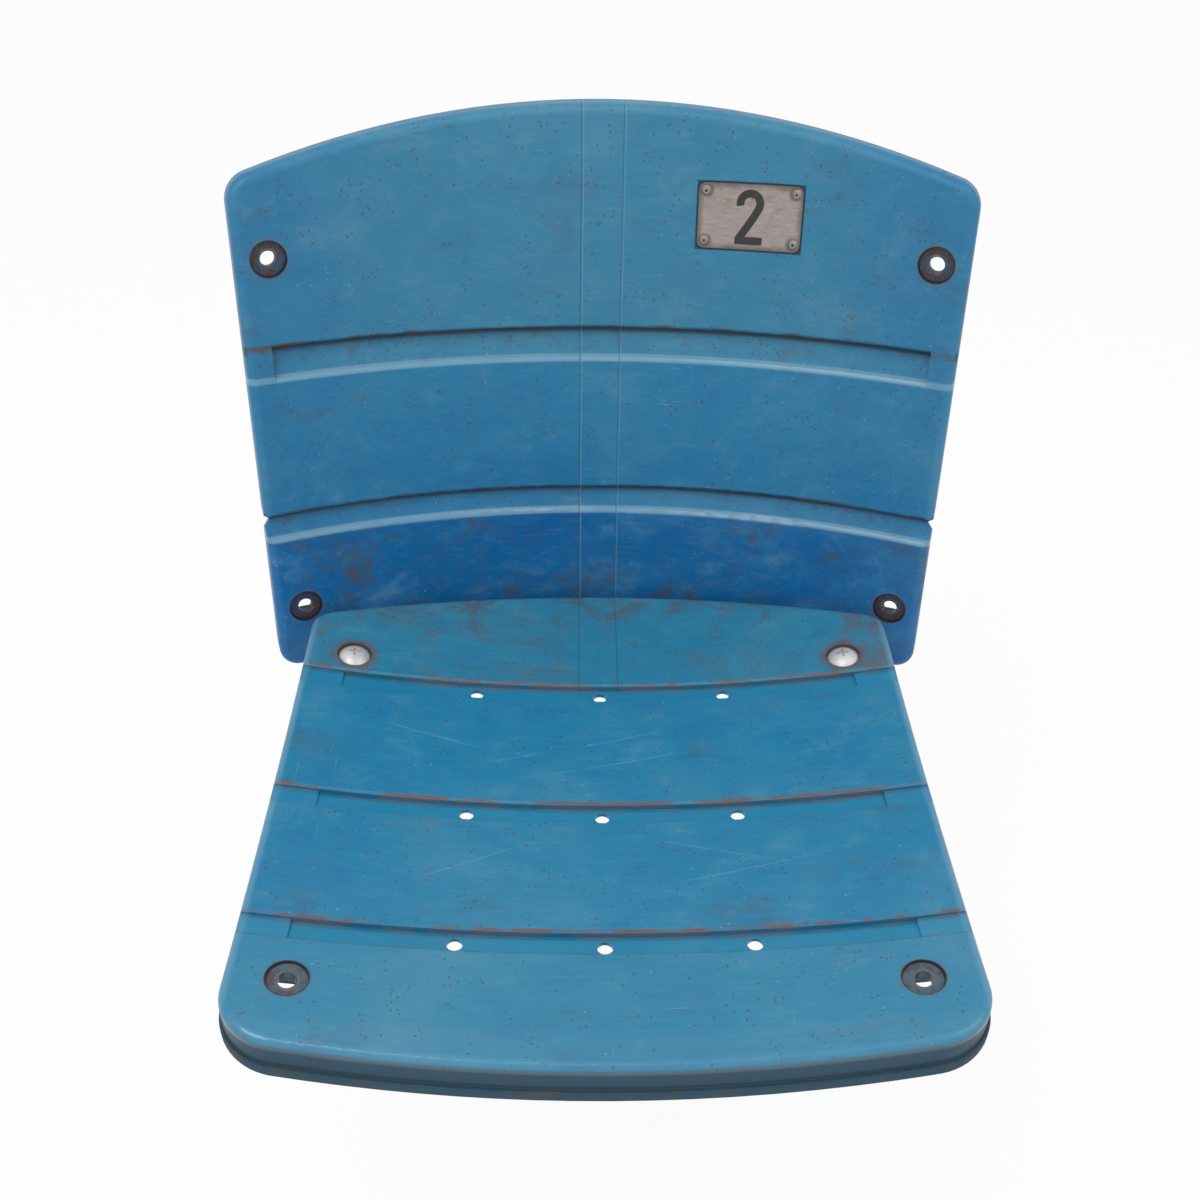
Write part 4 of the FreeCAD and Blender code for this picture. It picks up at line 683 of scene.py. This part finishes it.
def seat_plastic(form, look):
    recipe = new_recipe("seat_plastic")
    place = SeatPlace(recipe, form)
    top_side = face_side(recipe, form, place)
    rear = seat_slats(recipe, form, look, place, top_side)
    cloud, marks, cross = weathered_plastic(recipe, look, 60.0)
    film = rear_slat_dirt(recipe, look, place, rear)
    seat_grooves(recipe, form, look, place, top_side)
    band = seat_edges(recipe, form, look, place, cloud)
    for centre, _strength in MOULD_LINES:
        line = recipe.band(place.across, centre, 0.25 * MM, 0.4 * MM) * rear * top_side
        recipe.layer((0.020, 0.080, 0.115), line * 0.6)
    seat_bolts(recipe, form, look, place, top_side)
    for start, end, half in SCRATCHES:
        mark = line_mark(recipe, place.across, place.behind, [part * MM for part in start],
                         [part * MM for part in end], half * MM)
        recipe.layer(look.scuff, mark * recipe.rise(cloud, 0.36, 0.58) * top_side * 0.42)
    dirt = recipe.most(rear * recipe.rise(film, 0.40, 0.72), band)
    nose = recipe.rise(place.behind, -form.seat_bolt_run - 15 * MM,
                       -form.seat_bolt_run - 35 * MM)
    polish = recipe.band(place.depth, 3.5 * MM, 3.5 * MM, 1.5 * MM) * recipe.most(nose * 0.9, 0.35)
    return plastic_close(recipe, cloud, marks, cross, dirt, polish)


def plate_distance(recipe, form, place):
    """Distance outside the number plate's edge, below zero on the plate."""
    x = abs(place.across - form.plate_side) - form.plate_wide / 2
    z = abs(place.up - form.plate_rise) - form.plate_tall / 2
    return recipe.most(x, z)


def plate_metal(form, look):
    recipe = new_recipe("plate_metal")
    place = BackPlace(recipe, form)
    recipe.start(look.plate)
    brushed = recipe.noise(700, 3, 0.6, (60, 1, 1), 101.0)
    cloud = recipe.noise(60, 5, 0.65, (1, 1, 1), 103.0, 0.8)
    recipe.layer((0.55, 0.50, 0.47), recipe.rise(brushed, 0.5, 0.75) * 0.35)
    recipe.layer((0.24, 0.195, 0.18), recipe.rise(brushed, 0.5, 0.3) * 0.4)
    recipe.layer(look.plate_stain, recipe.rise(cloud, 0.52, 0.78) * 0.4)
    edge = plate_distance(recipe, form, place) + (cloud - 0.5) * (5 * MM)
    recipe.layer(look.plate_stain, recipe.rise(edge, -5 * MM, 0.5 * MM) * 0.75)
    rivet = recipe.far(abs(place.across - form.plate_side) - form.rivet_across / 2,
                       abs(place.up - form.plate_rise) - form.rivet_rise / 2)
    recipe.layer((0.10, 0.065, 0.05), recipe.rise(rivet, 5.6 * MM, 3.4 * MM) * 0.65)
    rough = 0.42 + cloud * 0.2
    return recipe.finish(rough, brushed, 0.25, 0.0002, Metallic=0.55)


def plain_metal(name, colour, dirt, seed, rough=0.35, metallic=1.0, dirt_share=0.35):
    """Plated or cast metal with dull patches, dirt and fine marks."""
    recipe = new_recipe(name)
    recipe.start(colour)
    cloud = recipe.noise(140, 5, 0.65, (1, 1, 1), seed, 0.6)
    fine = recipe.noise(1400, 3, 0.6, (1, 1, 1), seed + 2)
    recipe.layer(tuple(part * 0.72 for part in colour), recipe.rise(cloud, 0.40, 0.75) * 0.7)
    recipe.layer(dirt, recipe.rise(cloud, 0.60, 0.76) * dirt_share)
    recipe.layer(dirt, specks(recipe, 700, 0.28, seed + 7, 0.3) * dirt_share)
    return recipe.finish(rough + cloud * 0.25, fine + cloud, 0.2, 0.0002, Metallic=metallic)


def black_paint(look):
    """Black paint on steel, chipped to rust at random and rubbed thin."""
    recipe = new_recipe("black_paint")
    recipe.start(look.black)
    cloud = recipe.noise(50, 5, 0.65, (1, 1, 1), 121.0, 0.8)
    chip = recipe.noise(190, 4, 0.7, (1, 1, 1), 127.0, 0.5)
    recipe.layer((0.045, 0.043, 0.041), recipe.rise(cloud, 0.45, 0.8) * 0.6)
    recipe.layer((0.105, 0.042, 0.020), recipe.rise(chip, 0.66, 0.72) * 0.8)
    return recipe.finish(0.42 + cloud * 0.3, chip, 0.3, 0.0004)


def stop_rubber(look):
    recipe = new_recipe("stop_rubber")
    recipe.start(look.rubber)
    cloud = recipe.noise(260, 4, 0.6, (1, 1, 1), 131.0)
    recipe.layer((0.055, 0.052, 0.048), recipe.rise(cloud, 0.5, 0.8) * 0.6)
    return recipe.finish(0.62 + cloud * 0.25, cloud, 0.3, 0.0003)


def numeral_paint(look):
    recipe = new_recipe("numeral_paint")
    recipe.start(look.numeral)
    worn = recipe.noise(320, 5, 0.7, (1, 1, 1), 141.0, 0.6)
    recipe.layer((0.115, 0.095, 0.085), recipe.rise(worn, 0.56, 0.74) * 0.55)
    return recipe.finish(0.5 + worn * 0.25, worn, 0.3, 0.0002)


# Numeral

def two_outline(form):
    """Left and right side of the figure's stroke from its hook to the end of the neck."""
    half = form.wide / 2
    thick = form.stroke
    bowl = half - thick / 2
    centre = form.tall / 2 - half
    hook = math.radians(195)
    turn_end = math.radians(-28)
    steps = 24
    neck_steps = 12
    spine = []
    for index in range(steps + 1):
        turn = hook + (turn_end - hook) * index / steps
        spine.append(Vector((bowl * math.cos(turn), centre + bowl * math.sin(turn))))
    foot = Vector((-half + thick * 0.46, -form.tall / 2 + thick * 0.68))
    last = spine[-1]
    bend = last + Vector((-0.12, -0.30)) * form.wide
    for index in range(1, neck_steps + 1):
        t = index / neck_steps
        spine.append(last * (1 - t) ** 2 + bend * 2 * t * (1 - t) + foot * t ** 2)
    left, right = [], []
    for index, point in enumerate(spine):
        ahead = spine[min(index + 1, len(spine) - 1)] - spine[max(index - 1, 0)]
        side = Vector((-ahead.y, ahead.x)).normalized() * thick / 2
        left.append(point + side)
        right.append(point - side)
    return left, right


def numeral_mesh(form, seat_form):
    """Raised figure laid on the rolled plate, with a bevelled edge."""
    mesh = bmesh.new()
    left, right = two_outline(form)
    strip = list(zip(left, right))
    half = form.wide / 2
    low = -form.tall / 2
    base = [(Vector((-half, low)), Vector((-half, low + form.stroke))),
            (Vector((-half * 0.3, low)), Vector((-half * 0.3, low + form.stroke))),
            (Vector((half, low)), Vector((half, low + form.stroke)))]
    lifts = (0.0, form.proud * 0.7, form.proud)
    insets = (1.0, 1.0, 0.90)
    sunk = 0.02 * MM
    around = (0, 2, 4, 5, 3, 1)
    for pairs in (strip, base):
        rows = []
        for a, b in pairs:
            middle = (a + b) / 2
            row = []
            for lift, part in zip(lifts, insets):
                for end in (a, b):
                    spot = middle + (end - middle) * part
                    row.append(mesh.verts.new(back_point(
                        seat_form, form.side + spot.x, form.rise + spot.y,
                        form.face + lift - sunk)))
            rows.append(row)
        for one, two in zip(rows, rows[1:]):
            for k, m in zip(around, around[1:]):
                mesh.faces.new((one[k], one[m], two[m], two[k]))
        for row in (rows[0], rows[-1]):
            mesh.faces.new([row[k] for k in around])
    bmesh.ops.recalc_face_normals(mesh, faces=mesh.faces)
    data = bpy.data.meshes.new("plate_numeral")
    mesh.to_mesh(data)
    mesh.free()
    return data


# Operators

class SEAT_OT_panels(bpy.types.Operator):
    """Weathers the back and the seat"""

    bl_idname = "seat.panels"
    bl_label = "Weather the panels"

    def execute(self, context):
        scene = context.scene
        wear(back_plastic(scene.seat_form, scene.seat_plastic_look), "back_panel")
        wear(seat_plastic(scene.seat_form, scene.seat_plastic_look), "seat_panel")
        return {"FINISHED"}


class SEAT_OT_plate(bpy.types.Operator):
    """Brushes and stains the number plate and its rivets"""

    bl_idname = "seat.plate"
    bl_label = "Finish the number plate"

    def execute(self, context):
        scene = context.scene
        look = scene.seat_metal_look
        wear(plate_metal(scene.seat_form, look), "number_plate")
        wear(plain_metal("rivet_metal", look.rivet, look.plate_stain, 111.0, 0.38, 0.7),
             "plate_rivets")
        return {"FINISHED"}


class SEAT_OT_numeral(bpy.types.Operator):
    """Lays the numeral on the plate"""

    bl_idname = "seat.numeral"
    bl_label = "Add the numeral"

    def execute(self, context):
        scene = context.scene
        figure = bpy.data.objects.new("plate_numeral",
                                      numeral_mesh(scene.seat_numeral, scene.seat_form))
        scene.collection.objects.link(figure)
        figure.data.materials.append(numeral_paint(scene.seat_metal_look))
        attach(figure, "back")
        return {"FINISHED"}


class SEAT_OT_fasteners(bpy.types.Operator):
    """Plates the seat screws and every nut and washer"""

    bl_idname = "seat.fasteners"
    bl_label = "Finish the fasteners"

    def execute(self, context):
        look = context.scene.seat_metal_look
        brown = context.scene.seat_plastic_look.rust
        wear(plain_metal("screw_plating", look.bright, (0.20, 0.17, 0.15), 151.0, 0.34, 0.35,
                         0.3), "seat_screws")
        wear(plain_metal("zinc_plating", look.zinc, brown, 157.0, 0.40, 0.9, 0.5),
             "spacer_sleeves", "seat_washers", "seat_nuts", "bracket_screws",
             "bracket_washers", "bracket_nuts", "pivot_washers", "pivot_clips")
        return {"FINISHED"}


class SEAT_OT_hinges(bpy.types.Operator):
    """Paints the hinge steel and finishes pins, bushes and stops"""

    bl_idname = "seat.hinges"
    bl_label = "Finish the hinges"

    def execute(self, context):
        look = context.scene.seat_metal_look
        wear(black_paint(look), "seat_arm_right", "seat_arm_left", "hinge_bracket_right",
             "hinge_bracket_left")
        wear(plain_metal("pin_steel", look.zinc, (0.10, 0.06, 0.04), 163.0), "pivot_pin_right",
             "pivot_pin_left", "stop_pins")
        wear(plain_metal("bush_bronze", look.bronze, (0.09, 0.07, 0.04), 167.0),
             "pivot_bush_right", "pivot_bush_left")
        wear(stop_rubber(look), "stop_rubber_right", "stop_rubber_left")
        return {"FINISHED"}


class SEAT_OT_studio(bpy.types.Operator):
    """Sets the floor, the lamps and the camera"""

    bl_idname = "seat.studio"
    bl_label = "Set the studio"

    def execute(self, context):
        studio = context.scene.seat_studio
        context.scene.view_settings.view_transform = "Standard"
        self.surround(context, studio)
        self.floor(context, studio)
        self.lamp(context, "key_lamp", studio.key_place, studio.key_size, studio.key)
        self.lamp(context, "fill_lamp", studio.fill_place, studio.fill_size, studio.fill)
        self.camera(context, studio)
        return {"FINISHED"}

    def surround(self, context, studio):
        """White where it is seen, softer where it lights."""
        world = bpy.data.worlds.new("studio")
        context.scene.world = world
        recipe = Recipe(world)
        seen = recipe.ray("Camera", "Transmission")
        background = recipe.add("ShaderNodeBackground", Color=(1.0, 1.0, 1.0),
                                Strength=studio.sky + seen * (1.0 - studio.sky))
        recipe.add("ShaderNodeOutputWorld", Surface=background.outputs[0])

    def floor(self, context, studio):
        """A pale disc that keeps the seat's shadow."""
        mesh = bmesh.new()
        bmesh.ops.create_circle(mesh, cap_ends=True, radius=FLOOR_RADIUS,
                                segments=FLOOR_SEGMENTS)
        data = bpy.data.meshes.new("floor")
        mesh.to_mesh(data)
        mesh.free()
        ground = bpy.data.objects.new("floor", data)
        ground.location.z = studio.floor
        context.scene.collection.objects.link(ground)
        recipe = new_recipe("floor_white")
        seen = recipe.ray("Camera", "Glossy", "Transmission")
        paper = recipe.add("ShaderNodeBsdfDiffuse", Color=studio.paper)
        glow = recipe.add("ShaderNodeEmission", Color=(1.0, 1.0, 1.0), Strength=1.0)
        blend = recipe.add("ShaderNodeMixShader", Fac=seen * studio.glow)
        recipe.feed(blend.inputs[1], paper.outputs[0])
        recipe.feed(blend.inputs[2], glow.outputs[0])
        recipe.add("ShaderNodeOutputMaterial", Surface=blend.outputs[0])
        data.materials.append(recipe.owner)

    def lamp(self, context, name, place, size, power):
        data = bpy.data.lights.new(name, "AREA")
        data.shape = "DISK"
        data.size = size
        data.energy = power
        lamp = bpy.data.objects.new(name, data)
        lamp.location = place
        aim = Vector(context.scene.seat_studio.aim) - Vector(place)
        lamp.rotation_euler = aim.to_track_quat("-Z", "Y").to_euler()
        context.scene.collection.objects.link(lamp)

    def camera(self, context, studio):
        level = Vector((math.cos(studio.yaw), -math.sin(studio.yaw), 0.0))
        ahead = Vector((math.sin(studio.yaw) * math.cos(studio.pitch),
                        math.cos(studio.yaw) * math.cos(studio.pitch), -math.sin(studio.pitch)))
        upright = level.cross(ahead)
        right = level * math.cos(studio.roll) + upright * math.sin(studio.roll)
        up = upright * math.cos(studio.roll) - level * math.sin(studio.roll)
        data = bpy.data.cameras.new("camera")
        data.lens = studio.lens
        data.sensor_width = SENSOR
        camera = bpy.data.objects.new("camera", data)
        turn = Matrix((right, up, -ahead)).transposed()
        camera.matrix_world = Matrix.Translation(Vector(studio.eye)) @ turn.to_4x4()
        context.scene.collection.objects.link(camera)
        context.scene.camera = camera


class VIEW3D_PT_stadium_seat(bpy.types.Panel):
    """Lists the seat's operators"""

    bl_label = "Stadium Seat"
    bl_space_type = "VIEW_3D"
    bl_region_type = "UI"
    bl_category = "Stadium Seat"

    def draw(self, context):
        for operator in OPERATORS:
            self.layout.operator(operator.bl_idname)


GROUPS = (("seat_form", SeatForm), ("seat_plastic_look", PlasticLook),
          ("seat_metal_look", MetalLook), ("seat_numeral", NumeralForm),
          ("seat_studio", StudioLook))
OPERATORS = (SEAT_OT_panels, SEAT_OT_plate, SEAT_OT_numeral, SEAT_OT_fasteners,
             SEAT_OT_hinges, SEAT_OT_studio)


def register():
    for name, group in GROUPS:
        bpy.utils.register_class(group)
        setattr(bpy.types.Scene, name, PointerProperty(type=group))
    for operator in OPERATORS:
        bpy.utils.register_class(operator)
    bpy.utils.register_class(VIEW3D_PT_stadium_seat)


def unregister():
    bpy.utils.unregister_class(VIEW3D_PT_stadium_seat)
    for operator in reversed(OPERATORS):
        bpy.utils.unregister_class(operator)
    for name, group in reversed(GROUPS):
        delattr(bpy.types.Scene, name)
        bpy.utils.unregister_class(group)


def main():
    register()
    bpy.ops.seat.panels()
    bpy.ops.seat.plate()
    bpy.ops.seat.numeral()
    bpy.ops.seat.fasteners()
    bpy.ops.seat.hinges()
    bpy.ops.seat.studio()


if __name__ == "__main__":
    main()
